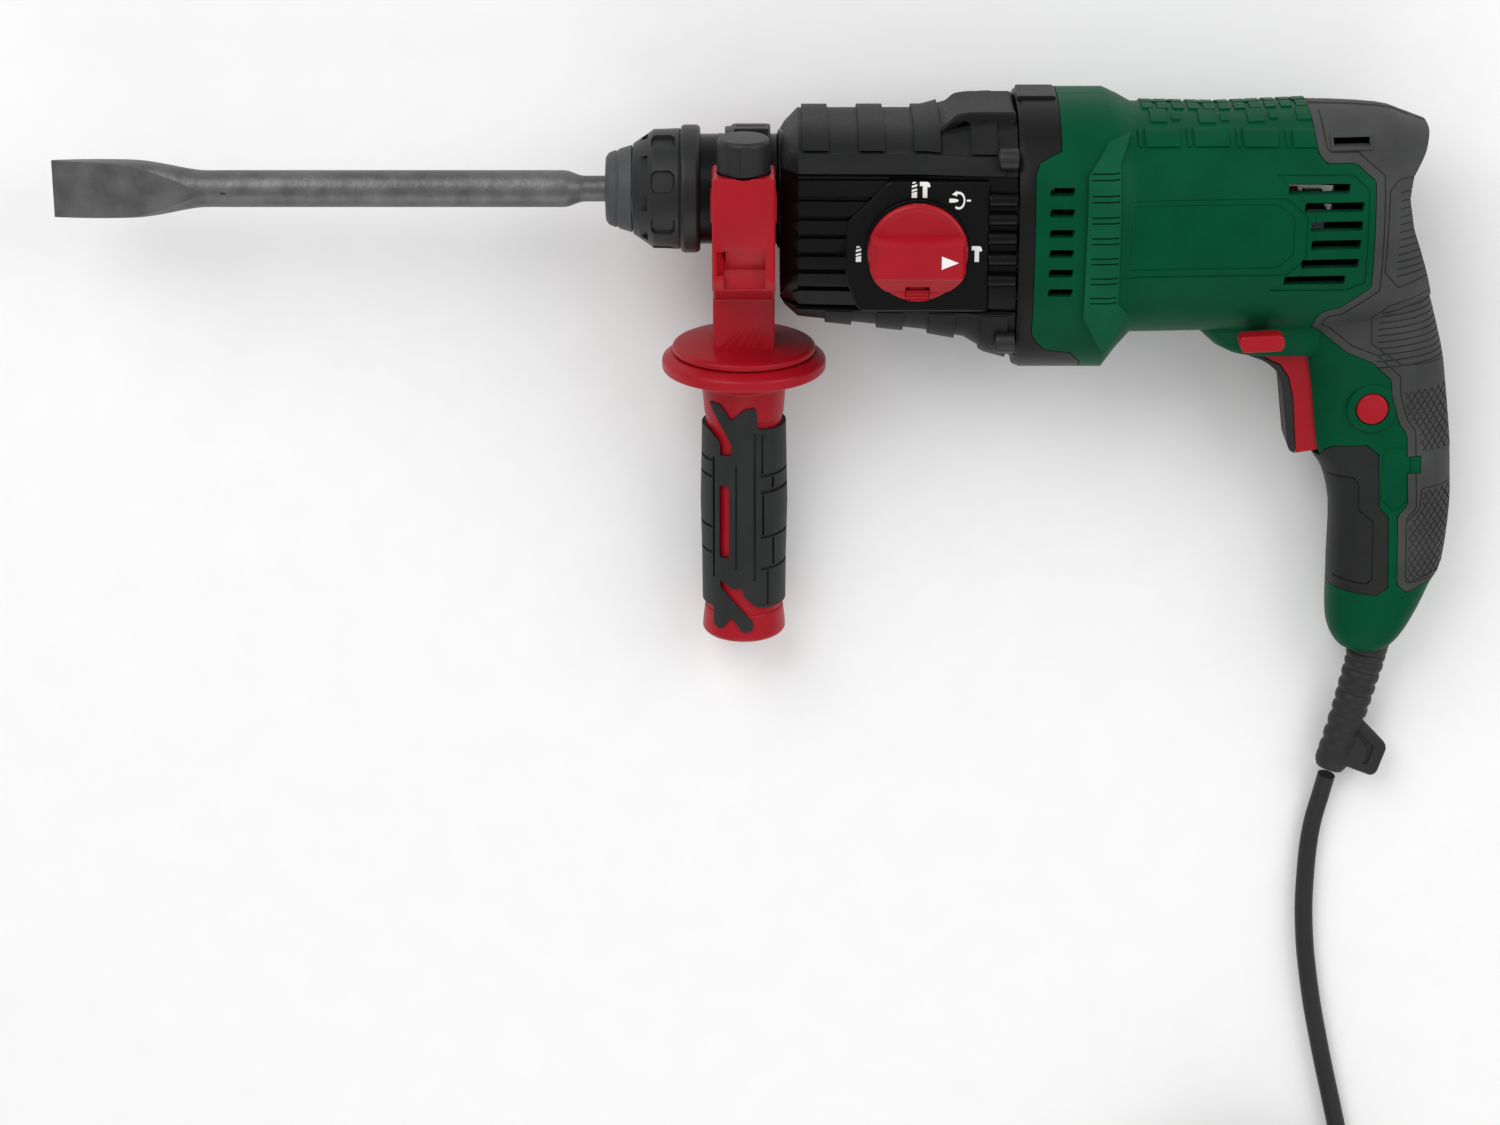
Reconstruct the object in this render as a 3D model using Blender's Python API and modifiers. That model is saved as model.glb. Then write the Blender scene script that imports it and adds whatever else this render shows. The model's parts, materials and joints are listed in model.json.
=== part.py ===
"""Rotary hammer with a flat chisel, a side handle and a free mains cord, lying on its right side.

The tool is modelled upright in its own frame, in millimetres: x runs back from the chuck's nose along the
spindle, z is up from the spindle, and y is to the tool's right. One empty lays the whole tool down.
"""

import math

import bmesh
import bpy
from mathutils import Matrix, Vector

MM = 0.001
GAP = 0.3

# How the tool lies: rolled onto its right side until both grips touch the bench.
TILT = 10.3
LIFT = 49.25
CENTRE_X = -60.03
CENTRE_Y = 101.67

# Drive train axes and gear data (module 1).
COUNTER_Z = -28.0
MOTOR_Z = -11.0
MODULE = 1.0
SPINDLE_TEETH = 43
COUNTER_PINION_TEETH = 13
COUNTER_TEETH = 26
MOTOR_TEETH = 8
WOBBLE_X = 137.0

# Chuck and bit.
SHANK_R = 5.0
BAR_R = 7.15
BIT_TIP_X = -214.0
NOSE_R = 13.4
SLEEVE_R = 23.2
NECK_R = 21.2

# Mode selector.
KNOB_X = 119.1
KNOB_Z = -12.0
KNOB_R = 19.0
KNOB_FACE_Y = -47.0

# Side handle.
HANDLE_X = 53.3
FLANGE_R = 32.2
SIDE_GRIP_END_Z = -184.0

# Mains cord.
CORD_D = 7.4
COIL_OUTER_R = 55.0
COIL_INNER_R = 30.5
COIL_HEIGHT = 29.0

# Housing sections along x: x, centre height, half height, half width, squareness.
BARREL = (
    (157.4, -15.8, 53.6, 44.0, 2.5),
    (160.0, -15.8, 54.7, 45.0, 2.5),
    (184.0, -15.8, 54.7, 45.0, 2.5),
    (191.0, -13.0, 49.0, 43.4, 2.4),
    (199.0, -11.0, 44.0, 41.4, 2.3),
    (235.0, -11.0, 43.3, 41.0, 2.3),
    (270.0, -10.0, 44.0, 41.0, 2.3),
    (297.0, -8.8, 42.2, 38.5, 2.3),
    (307.0, -8.2, 38.5, 34.5, 2.3),
    (313.5, -7.6, 33.5, 29.0, 2.3),
    (317.2, -7.6, 26.0, 21.5, 2.2),
)
# Pistol grip sections down z: height, front x, rear x, half width.
GRIP = (
    (6.0, 268.0, 311.0, 20.0),
    (-12.0, 266.0, 312.2, 22.0),
    (-33.0, 264.0, 319.0, 21.0),
    (-62.0, 270.0, 326.6, 18.6),
    (-85.0, 277.0, 330.4, 17.2),
    (-105.0, 280.6, 332.9, 17.0),
    (-129.0, 286.3, 334.1, 17.3),
    (-154.0, 286.7, 332.5, 17.3),
    (-172.0, 287.2, 327.6, 17.2),
    (-184.0, 288.6, 322.4, 16.6),
    (-189.5, 293.0, 317.5, 13.5),
)
# The block above the trigger that carries the direction lever.
CHIN = ((-38.0, 226.0, 282.0, 20.0), (-57.0, 232.0, 281.0, 18.0), (-65.6, 241.0, 280.0, 15.5))
# Gear case sections along x: x, top, bottom, half width.
GEARBOX = (
    (67.3, 25.0, -42.5, 33.5),
    (74.0, 31.8, -48.5, 39.0),
    (122.0, 31.8, -53.8, 40.4),
    (138.0, 37.2, -57.0, 41.4),
    (146.0, 37.8, -63.0, 42.0),
    (156.8, 37.8, -66.0, 42.4),
)
# Side-view outlines, x and z.
COLLAR_EDGE = (
    (150.0, 60.0), (173.0, 60.0), (173.4, 24.4), (168.7, 22.5), (165.0, 20.5), (163.5, 16.6),
    (163.3, -46.0), (165.4, -50.0), (168.9, -53.7), (178.6, -55.3), (182.6, -60.5), (184.0, -80.0),
    (150.0, -80.0),
)
REAR_SOFT = (
    (266.4, 60.0), (268.5, 41.0), (269.8, 27.0), (270.6, 22.4), (273.6, 19.1), (284.6, 19.1),
    (292.1, 13.0), (292.3, -28.7), (281.1, -37.9), (276.0, -39.0), (272.9, -42.4), (272.5, -49.4),
    (287.5, -61.0), (297.5, -65.0), (305.5, -72.5), (306.2, -80.0), (309.7, -90.6), (314.5, -95.3),
    (316.4, -104.0), (317.6, -124.0), (312.4, -129.1), (313.3, -158.3), (316.7, -162.2),
    (324.9, -158.9), (345.0, -152.0), (345.0, 60.0),
)
FRONT_SOFT = (
    (274.0, -106.0), (279.7, -106.3), (281.7, -102.4), (285.3, -100.5), (297.8, -99.5),
    (301.2, -103.4), (302.4, -125.5), (307.2, -129.5), (308.9, -159.7), (305.0, -163.1),
    (285.8, -161.6), (274.0, -161.0),
)
TRIGGER = (
    (254.5, -66.6), (263.0, -74.2), (266.6, -100.9), (268.6, -104.6), (279.0, -104.4),
    (291.0, -100.0), (291.0, -69.0), (284.0, -66.6),
)


def clear_scene():
    for obj in list(bpy.data.objects):
        bpy.data.objects.remove(obj)
    for collection in list(bpy.data.collections):
        bpy.data.collections.remove(collection)


clear_scene()
solids = bpy.data.collections.new("rotary_hammer")
cutters = bpy.data.collections.new("rotary_hammer_cutters")
cutters.hide_render = True
for group in (solids, cutters):
    bpy.context.scene.collection.children.link(group)

tool = bpy.data.objects.new("tool_frame", None)
tool.location = (CENTRE_X * MM, CENTRE_Y * MM, LIFT * MM)
tool.rotation_euler = (-math.radians(90.0 - TILT), 0.0, 0.0)
solids.objects.link(tool)


def material(name, colour, roughness, metallic=0.0):
    made = bpy.data.materials.new(name)
    made.use_nodes = True
    shader = made.node_tree.nodes["Principled BSDF"]
    shader.inputs["Base Color"].default_value = (*colour, 1.0)
    shader.inputs["Roughness"].default_value = roughness
    shader.inputs["Metallic"].default_value = metallic
    return made


GREEN = material("green_shell", (0.004, 0.060, 0.030), 0.45)
SOFT = material("black_rubber", (0.018, 0.019, 0.020), 0.75)
BLACK = material("black_plastic", (0.020, 0.021, 0.023), 0.40)
GREY = material("dark_grey_plastic", (0.045, 0.047, 0.050), 0.55)
CASTING = material("black_casting", (0.022, 0.023, 0.025), 0.35, 0.3)
RED = material("red_plastic", (0.42, 0.012, 0.022), 0.35)
STEEL = material("steel", (0.50, 0.50, 0.50), 0.30, 1.0)
DARK_STEEL = material("dark_steel", (0.16, 0.16, 0.17), 0.38, 1.0)
COPPER = material("copper", (0.70, 0.30, 0.14), 0.35, 1.0)
LAMINATION = material("lamination", (0.22, 0.22, 0.23), 0.45, 1.0)
CARBON = material("carbon", (0.03, 0.03, 0.03), 0.6)
CREAM = material("fan_plastic", (0.60, 0.58, 0.52), 0.5)
BRASS = material("brass", (0.65, 0.47, 0.18), 0.3, 1.0)
CABLE = material("cord_rubber", (0.012, 0.012, 0.013), 0.6)


def add_object(name, form, finish, origin=(0, 0, 0)):
    """Links an object made from a bmesh in tool millimetres, with its own origin at the given point."""
    bmesh.ops.recalc_face_normals(form, faces=form.faces)
    mesh = bpy.data.meshes.new(name)
    move = Matrix.Scale(MM, 4) @ Matrix.Translation(-Vector(origin))
    form.transform(move)
    form.to_mesh(mesh)
    form.free()
    obj = bpy.data.objects.new(name, mesh)
    obj.parent = tool
    obj.location = Vector(origin) * MM
    if finish is None:
        cutters.objects.link(obj)
        obj.display_type = "WIRE"
        obj.hide_render = True
    else:
        solids.objects.link(obj)
        mesh.materials.append(finish)
    return obj


def box(name, low, high, finish=None, origin=(0, 0, 0), round_by=0.0):
    form = bmesh.new()
    bmesh.ops.create_cube(form, size=1.0)
    size = Vector(high) - Vector(low)
    bmesh.ops.scale(form, vec=size, verts=form.verts)
    bmesh.ops.translate(form, vec=(Vector(high) + Vector(low)) / 2, verts=form.verts)
    obj = add_object(name, form, finish, origin)
    if round_by:
        soften(obj, round_by)
    return obj


def boxes(name, spans, finish=None):
    """Several separate boxes in one mesh, as a row of slots to cut."""
    form = bmesh.new()
    for low, high in spans:
        made = bmesh.ops.create_cube(form, size=1.0)["verts"]
        bmesh.ops.scale(form, vec=Vector(high) - Vector(low), verts=made)
        bmesh.ops.translate(form, vec=(Vector(high) + Vector(low)) / 2, verts=made)
    return add_object(name, form, finish)


def soften(obj, width, segments=1, angle=40):
    bevel = obj.modifiers.new("edges", "BEVEL")
    bevel.width = width * MM
    bevel.segments = segments
    bevel.limit_method = "ANGLE"
    bevel.angle_limit = math.radians(angle)
    return obj


def prism(name, outline, across, low, high, finish=None, origin=(0, 0, 0)):
    """A flat outline carried along one axis: across is the axis it is extruded along."""
    form = bmesh.new()
    places = {
        "x": lambda p: (low, p[0], p[1]),
        "y": lambda p: (p[0], low, p[1]),
        "z": lambda p: (p[0], p[1], low),
    }
    face = form.faces.new([form.verts.new(places[across](p)) for p in outline])
    moved = bmesh.ops.extrude_face_region(form, geom=[face])["geom"]
    step = {"x": Vector((1, 0, 0)), "y": Vector((0, 1, 0)), "z": Vector((0, 0, 1))}[across]
    bmesh.ops.translate(
        form, vec=step * (high - low), verts=[v for v in moved if isinstance(v, bmesh.types.BMVert)]
    )
    return add_object(name, form, finish, origin)


def turned(name, profile, finish=None, origin=(0, 0, 0), axis="x", steps=18):
    """A turned part: profile is (along, radius) pairs from the origin point, round an axis through it."""
    area = sum(
        a[1] * b[0] - b[1] * a[0] for a, b in zip(profile, list(profile[1:]) + [profile[0]])
    )
    points = list(profile) if area < 0 else list(reversed(profile))
    solid = points[0][1] < 1e-6 or points[-1][1] < 1e-6
    if solid:
        while points[0][1] > 1e-6 or points[-1][1] > 1e-6:
            points = points[1:] + points[:1]
    mesh = bpy.data.meshes.new(name)
    edges = [(i, i + 1) for i in range(len(points) - 1)]
    if not solid:
        edges.append((len(points) - 1, 0))
    mesh.from_pydata([(r * MM, 0.0, a * MM) for a, r in points], edges, [])
    obj = bpy.data.objects.new(name, mesh)
    obj.parent = tool
    obj.location = Vector(origin) * MM
    obj.rotation_euler = {
        "x": (0.0, math.radians(90), 0.0),
        "y": (math.radians(-90), 0.0, 0.0),
        "z": (0.0, 0.0, 0.0),
    }[axis]
    screw = obj.modifiers.new("turn", "SCREW")
    screw.axis = "Z"
    screw.angle = math.tau
    screw.steps = steps
    screw.render_steps = steps
    screw.use_merge_vertices = True
    screw.merge_threshold = 0.00001
    screw.use_smooth_shade = False
    if finish is None:
        cutters.objects.link(obj)
        obj.display_type = "WIRE"
        obj.hide_render = True
    else:
        solids.objects.link(obj)
        mesh.materials.append(finish)
    return obj


def combine(obj, other, operation):
    step = obj.modifiers.new(operation.lower(), "BOOLEAN")
    step.operation = operation
    step.object = other
    step.solver = "EXACT"
    return obj


def cut(obj, *others):
    for other in others:
        combine(obj, other, "DIFFERENCE")
    return obj


def join(obj, *others):
    for other in others:
        combine(obj, other, "UNION")
    return obj


def keep(obj, *others):
    for other in others:
        combine(obj, other, "INTERSECT")
    return obj


def ring(centre, half_a, half_b, squareness, count, place):
    """One closed section: a superellipse put in space by place(a, b)."""
    found = []
    for i in range(count):
        t = math.tau * i / count
        c, s = math.cos(t), math.sin(t)
        a = half_a * math.copysign(abs(c) ** (2 / squareness), c)
        b = half_b * math.copysign(abs(s) ** (2 / squareness), s)
        found.append(place(centre[0] + a, centre[1] + b))
    return found


def loft(name, rings, finish=None):
    form = bmesh.new()
    rows = [[form.verts.new(p) for p in points] for points in rings]
    count = len(rings[0])
    for first, second in zip(rows, rows[1:]):
        for i in range(count):
            form.faces.new((first[i], first[(i + 1) % count], second[(i + 1) % count], second[i]))
    form.faces.new(list(reversed(rows[0])))
    form.faces.new(rows[-1])
    return add_object(name, form, finish)


def barrel_form(name, inset, front=0.0, count=24):
    """The motor housing's outer shape, taken in by inset. front moves its open end forward."""
    rings = []
    for i, (x, mid, half_z, half_y, square) in enumerate(BARREL):
        shift = -front if i == 0 else (-inset if x > 300 else 0.0)
        rings.append(
            ring((0, mid), half_y - inset, half_z - inset, square, count,
                 lambda a, b, at=x + shift: (at, a, b))
        )
    return loft(name, rings)


def grip_form(name, inset, count=20):
    rings = []
    for z, front, rear, half_y in GRIP:
        shift = inset if z < -180 else 0.0
        rings.append(
            ring(((front + rear) / 2, 0), (rear - front) / 2 - inset, half_y - inset, 2.5, count,
                 lambda a, b, at=z + shift: (a, b, at))
        )
    return loft(name, rings)


def chin_form(name, inset):
    rings = []
    for z, front, rear, half_y in CHIN:
        shift = inset if z < -60 else 0.0
        rings.append(
            ring(((front + rear) / 2, 0), (rear - front) / 2 - inset, half_y - inset, 4.0, 16,
                 lambda a, b, at=z + shift: (a, b, at))
        )
    return loft(name, rings)


def housing_form(name, inset, front=0.0):
    """Barrel, grip and chin as one closed shape."""
    body = barrel_form(name, inset, front)
    return join(body, chin_form(name + "_chin", inset), grip_form(name + "_grip", inset))


def gearbox_form(name, inset, low=0, count=24, back=0.0):
    rings = []
    for i, (x, top, bottom, half_y) in enumerate(GEARBOX[low:]):
        shift = back if i == len(GEARBOX[low:]) - 1 else 0.0
        rings.append(
            ring((0, (top + bottom) / 2), half_y - inset, (top - bottom) / 2 - inset, 3.2, count,
                 lambda a, b, at=x + shift: (at, a, b))
        )
    return loft(name, rings)


def inside(outline, by):
    """The same outline taken in by a small amount, corner by corner."""
    pts = [Vector(p) for p in outline]
    area = sum(a.x * b.y - b.x * a.y for a, b in zip(pts, pts[1:] + pts[:1]))
    side = 1.0 if area > 0 else -1.0
    found = []
    for before, here, after in zip(pts[-1:] + pts[:-1], pts, pts[1:] + pts[:1]):
        one = (here - before).normalized()
        two = (after - here).normalized()
        n_one = Vector((-one.y, one.x)) * side
        n_two = Vector((-two.y, two.x)) * side
        mid = (n_one + n_two).normalized()
        found.append(here + mid * (by / max(0.5, mid.dot(n_one))))
    return [tuple(p) for p in found]


def gear_outline(teeth, centre, turn=0.0):
    """Straight-flanked stub teeth with backlash, as (y, z) points."""
    pitch_r = MODULE * teeth / 2
    tip_r = pitch_r + 0.72 * MODULE
    root_r = pitch_r - 1.05 * MODULE
    pitch = math.tau / teeth
    found = []
    for i in range(teeth):
        mid = turn + i * pitch
        for radius, share in ((root_r, -0.34), (tip_r, -0.12), (tip_r, 0.12), (root_r, 0.34)):
            angle = mid + share * pitch
            found.append((centre[0] + radius * math.cos(angle), centre[1] + radius * math.sin(angle)))
    return found


# ---------------------------------------------------------------- housing

SCREWS = ((262.0, -45.6, 21.0), (302.5, -122.0, 12.9))
LEFT = (-70.0, -GAP / 2)
RIGHT = (GAP / 2, 70.0)


def vent_spans(side):
    """Air slots through one half of the housing, at the fan and at the rear."""
    low, high = (-60.0, -30.0) if side == "left" else (30.0, 60.0)
    spans = []
    for i in range(6):
        z = 10.6 - 7.75 * i
        spans.append(((168.8, low, z - 1.9), (178.0, high, z + 1.9)))
        z = 10.2 - 7.3 * i
        front = (262.0, 266.5, 269.0, 269.5, 267.0, 262.0)[i]
        spans.append(((front, low + 2, z - 1.7), (287.0, high, z + 1.7)))
    return spans


def make_housing():
    outer = housing_form("form_outer", 0.0)
    under = housing_form("form_under", 2.6)
    lining = housing_form("form_lining", 2.6 - GAP)
    cavity = housing_form("form_cavity", 5.0, front=4.0)
    web = box("web", (271.8, -60, -46), (275.0, 60, 60))
    cut(web, turned("web_hole", [(-6, 0), (-6, 11.3), (6, 11.3), (6, 0)], None, (273.4, 0, MOTOR_Z)))
    cut(cavity, web)
    trigger_slot = box("trigger_slot", (262, -10.2, -106), (300, 10.2, -65.2))
    lever_slot = box("lever_slot", (240.5, -70, -60.0), (266.0, 70, -52.0))
    relief_hole = turned("relief_hole", [(-30, 0), (-30, 9.9), (9, 9.9), (9, 0)], None, (306, 0, -187), "z", 16)
    button_hole = turned("button_hole", [(-30, 0), (-30, 6.6), (-4, 6.6), (-4, 0)], None, (298.7, 0, -84), "y")
    for side, (low, high) in (("left", LEFT), ("right", RIGHT)):
        collar = prism("collar_zone_" + side, COLLAR_EDGE, "y", low - 1, high + 1)
        rear_zone = prism("rear_zone_" + side, REAR_SOFT, "y", low - 1, high + 1)
        pad_zone = prism("pad_zone_" + side, FRONT_SOFT, "y", low - 1, high + 1)
        shell = box("housing_" + side, (155, low, -200), (350, high, 70), GREEN)
        keep(shell, outer)
        cut(shell, rear_zone, pad_zone)
        near, far = sorted((low, high), key=abs)
        step = math.copysign(0.08, far)
        ends = sorted((near + step, far))
        core = box("core_" + side, (186.3, ends[0], -200), (350, ends[1], 70))
        keep(core, under)
        join(shell, core)
        cut(shell, cavity, collar, trigger_slot, lever_slot, relief_hole)
        for x, z, reach in SCREWS:
            tip = math.copysign(reach, far)
            join(shell, turned("boss", [(near + 2 * step, 0), (near + 2 * step, 4.8), (tip, 4.8), (tip, 0)], None,
                               (x, 0, z), "y", 14))
            cut(shell, turned("screw_room", [(-12.4, 0), (-12.4, 2.1), (8.6, 2.1), (8.6, 4.1), (70, 4.1), (70, 0)],
                              None, (x, 0, z), "y", 12))
        cut(shell, boxes("vents_" + side, vent_spans(side)))
        if side == "left":
            cut(shell, button_hole)
        rear = prism("rear_overmould_" + side, inside(REAR_SOFT, GAP), "y", low, high, SOFT)
        keep(rear, outer)
        cut(rear, lining)
        cut(rear, boxes("rear_vents_" + side, vent_spans(side)[1::2]))
        pad = prism("front_grip_" + side, inside(FRONT_SOFT, GAP), "y", low, high, SOFT)
        keep(pad, outer)
        cut(pad, lining, trigger_slot)
    ring_zone = prism("ring_zone", inside(COLLAR_EDGE, GAP), "y", -70, 70)
    ring_part = barrel_form("housing_collar_form", 0.0)
    keep(ring_part, ring_zone)
    cut(ring_part, barrel_form("collar_inner", 5.0, front=4.0))
    return ring_part


def promote(obj, name, finish):
    """Turns a helper into a visible part."""
    cutters.objects.unlink(obj)
    solids.objects.link(obj)
    obj.name = name
    obj.hide_render = False
    obj.display_type = "TEXTURED"
    obj.data.materials.append(finish)
    return obj


promote(make_housing(), "housing_collar", GREY)


def screw(name, x, z):
    """A housing screw, its head on the right side and its thread in the left half."""
    return turned(
        name, [(-12.0, 0), (-12.0, 1.7), (9.0, 1.7), (9.0, 3.6), (11.5, 3.6), (11.5, 0)],
        STEEL, (x, 0, z), "y", 12,
    )


# ---------------------------------------------------------------- gear case

def make_gear_case():
    outer = gearbox_form("gearbox_outer", 0.0)
    upper_zone = box("upper_zone", (60, -60, 15.6), (170, 60, 60))
    lower_zone = box("lower_zone", (60, -60, -90), (170, 60, -37.6))
    lining = gearbox_form("gearbox_lining", 2.5)
    case = box("gear_case", (60, -60, -37.3), (156.8, 60, 15.3), CASTING)
    keep(case, outer)
    join(case, gearbox_form("gearbox_core", 2.5 + GAP))
    neck = turned("neck", [(37.6, 0), (37.6, NECK_R), (76, NECK_R), (76, 0)], None, steps=24)
    pad = turned("knob_pad", [(-42.6, 0), (-42.6, 21.5), (-30, 21.5), (-30, 0)], None,
                 (KNOB_X, 0, KNOB_Z), "y", 24)
    join(case, neck, pad)
    cut(case, gearbox_form("gear_room", 7.0, low=1, back=3.0))
    cut(case, turned("neck_bore", [(30, 0), (30, 19.4), (80, 19.4), (80, 0)], None, steps=24))
    cut(case, turned("counter_pocket", [(70, 0), (70, 4.3), (78, 4.3), (78, 0)], None, (0, 0, COUNTER_Z)))
    cut(case, turned("knob_bore", [(-60, 0), (-60, 6.2), (-20, 6.2), (-20, 0)], None,
                     (KNOB_X, 0, KNOB_Z), "y", 20))
    for name, zone in (("gear_jacket_upper", upper_zone), ("gear_jacket_lower", lower_zone)):
        jacket = gearbox_form(name, 0.0)
        promote(jacket, name, SOFT)
        keep(jacket, zone)
        cut(jacket, lining)
    gap_ring = turned("neck_gap", [(50, 0), (50, NECK_R + GAP), (80, NECK_R + GAP), (80, 0)], None, steps=24)
    cut(bpy.data.objects["gear_jacket_upper"], gap_ring)


make_gear_case()

support = turned("inner_support", [(121.5, 18.9), (121.5, 22.2), (128.5, 22.2), (128.5, 18.9)], CASTING, steps=24)
join(support, box("arm_left", (122.5, -32.0, -4), (127.5, -21, 4)), box("arm_right", (122.5, 21, -4), (127.5, 32.0, 4)))

plate = turned(
    "bearing_plate",
    [(160, 5.4), (160, 36), (163.5, 36), (163.5, 14), (170, 14), (170, 11.2), (163.9, 11.2), (163.9, 5.4)],
    CASTING, (0, 0, MOTOR_Z), steps=24,
)
cut(plate, turned("plate_pocket", [(158, 0), (158, 4.3), (162.4, 4.3), (162.4, 0)], None, (0, 0, COUNTER_Z)))

# ---------------------------------------------------------------- motor

turned("stator_core", [(205, 23), (205, 34.5), (250, 34.5), (250, 23)], LAMINATION, (0, 0, MOTOR_Z), steps=24)
turned("stator_winding_front", [(196, 24), (196, 31), (199, 33), (204.7, 33), (204.7, 24)], COPPER, (0, 0, MOTOR_Z))
turned("stator_winding_rear", [(250.3, 24), (250.3, 33), (254, 32), (256.5, 29), (256.5, 24)], COPPER, (0, 0, MOTOR_Z))
turned("motor_bearing_front", [(164.2, 4.3), (164.2, 11.0), (170.2, 11.0), (170.2, 4.3)], STEEL, (0, 0, MOTOR_Z))
turned("motor_bearing_rear", [(270.3, 4.3), (270.3, 11.0), (277.0, 11.0), (277.0, 4.3)], STEEL, (0, 0, MOTOR_Z))
for side, sign in (("left", -1), ("right", 1)):
    ends = sorted((sign * 12.4, sign * 27.0))
    box("carbon_brush_" + side, (258.5, ends[0], MOTOR_Z - 4), (264.5, ends[1], MOTOR_Z + 4), CARBON)

MOTOR = (0, 0, MOTOR_Z)
motor_turn = math.pi / 2
shaft = turned("armature_shaft", [(150.6, 0), (150.6, 2.7), (159, 2.7), (159, 4.0), (279, 4.0), (279, 0)],
               STEEL, MOTOR, steps=20)
join(shaft, prism("motor_pinion", gear_outline(MOTOR_TEETH, (0, MOTOR_Z), motor_turn), "x", 151, 158.6))
turned("armature_core", [(207, 4.3), (207, 22.2), (248, 22.2), (248, 4.3)], LAMINATION, MOTOR, steps=24)
turned("commutator", [(256.8, 4.3), (256.8, 12.0), (267.5, 12.0), (267.5, 4.3)], COPPER, MOTOR)
fan = turned("fan", [(184.6, 4.3), (173.5, 4.3), (173.5, 9), (183, 11), (183, 33), (184.6, 33)], CREAM, MOTOR, steps=24)
for i in range(9):
    angle = math.tau * i / 9
    blade = box("blade_%d" % i, (174.5, 9.0, MOTOR_Z - 0.8), (183.6, 32.4, MOTOR_Z + 0.8))
    pivot = Matrix.Translation((0, 0, MOTOR_Z)) @ Matrix.Rotation(angle, 4, "X") @ Matrix.Translation((0, 0, -MOTOR_Z))
    pivot.translation = pivot.translation * MM
    blade.data.transform(pivot)
    join(fan, blade)

# ---------------------------------------------------------------- gear train and hammer mechanism

COUNTER = (0, 0, COUNTER_Z)
counter = turned(
    "countershaft",
    [(70.6, 0), (70.6, 4.0), (130.0, 4.0), (130.0, 5.8), (131.5, 5.8)]
    + [(WOBBLE_X - 8.4 * math.cos(a), 8.4 * math.sin(a)) for a in (math.radians(d) for d in range(50, 131, 16))]
    + [(142.5, 5.8), (146.0, 5.8), (146.0, 4.0), (162.0, 4.0), (162.0, 0)],
    STEEL, COUNTER, steps=20,
)
mesh_at = math.pi / 2
gear = prism("countershaft_gear",
             gear_outline(COUNTER_TEETH, (0, COUNTER_Z), mesh_at + math.pi / COUNTER_TEETH),
             "x", 151, 158.6, STEEL, COUNTER)
cut(gear, turned("gear_bore", [(140, 0), (140, 4.3), (170, 4.3), (170, 0)], None, COUNTER, steps=20))
for name, teeth, centre, start, bore, origin in (
    ("countershaft_pinion", COUNTER_PINION_TEETH, (0, COUNTER_Z), mesh_at, 4.3, COUNTER),
    ("spindle_gear", SPINDLE_TEETH, (0, 0), -mesh_at + math.pi / SPINDLE_TEETH, 18.7, (0, 0, 0)),
):
    wheel = prism(name, gear_outline(teeth, centre, start), "x", 108.5, 117.0, STEEL, origin)
    cut(wheel, turned(name + "_bore", [(90, 0), (90, bore), (130, bore), (130, 0)], None, origin, steps=24))

wobble = turned("wobble_plate", [(-3.2, 9.3), (-3.2, 13.8), (3.2, 13.8), (3.2, 9.3)], STEEL, (WOBBLE_X, 0, COUNTER_Z), "x")
join(wobble, turned("wobble_finger", [(11.5, 0), (11.5, 3.2), (20.0, 2.8), (24.0, 2.4), (32.0, 2.2), (32.0, 0)], None,
                    (WOBBLE_X, 0, COUNTER_Z), "z", 12))

piston = turned(
    "piston",
    [(88, 16.0), (128.0, 16.0), (128.0, 0), (122, 0), (122, 12.3), (88, 12.3)],
    LAMINATION, steps=24,
)
ears = box("piston_ears", (125, -9.6, -5.9), (144.0, 9.6, 8))
join(piston, ears)
cut(piston, box("finger_room", (129.5, -4.4, -20), (150, 4.4, 20)))
cut(piston, turned("pin_room", [(-20, 0), (-20, 4.6), (20, 4.6), (20, 0)], None, (WOBBLE_X, 0, 0), "y", 16))
pin = turned("piston_pin", [(-9.4, 0), (-9.4, 3.4), (9.4, 3.4), (9.4, 0)], STEEL, (WOBBLE_X, 0, 0), "y", 16)
cut(pin, turned("finger_eye", [(-8, 0), (-8, 2.7), (8, 2.7), (8, 0)], None, (WOBBLE_X, 0, 0), "z", 12))
turned("striker", [(92, 0), (92, 6), (98, 6), (98, 12.0), (116, 12.0), (116, 0)], DARK_STEEL)
turned("impact_bolt", [(45, 0), (45, 4.9), (50, 4.9), (50, 8.7), (62, 8.7), (62, 5.8), (77, 5.8), (77, 0)], DARK_STEEL)

# ---------------------------------------------------------------- chuck and bit

spindle = turned(
    "spindle",
    [(5.0, 5.15), (5.0, 9.0), (9.5, 9.0), (9.5, 12.6), (38.0, 12.6), (38.0, 17.6), (41.0, 17.6),
     (41.0, 14.0), (62.0, 14.0), (64.0, 18.4), (130.2, 18.4), (130.2, 16.3), (79.5, 16.3), (79.5, 9.1),
     (44.0, 9.1), (44.0, 5.15)],
    STEEL, steps=24,
)
cut(spindle, box("ball_window", (20.0, -4.0, 3.0), (28.2, 4.0, 14.0)))
turned("spindle_bearing_front", [(46, 14.3), (46, 19.1), (60, 19.1), (60, 14.3)], STEEL)
turned("dust_cap", [(0, 5.6), (0, 11.6), (1.2, 13.0), (3.5, NOSE_R), (10.2, 14.6), (10.2, 12.9), (9.2, 12.9),
                    (9.2, 9.3), (4.7, 9.3), (4.7, 5.6)], SOFT, steps=24)
turned("locking_ball", [(3.4 * math.cos(a), 3.4 * math.sin(a)) for a in (math.radians(d) for d in range(0, 181, 20))],
       STEEL, (24.1, 0, 8.0), "x", 12)
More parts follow.
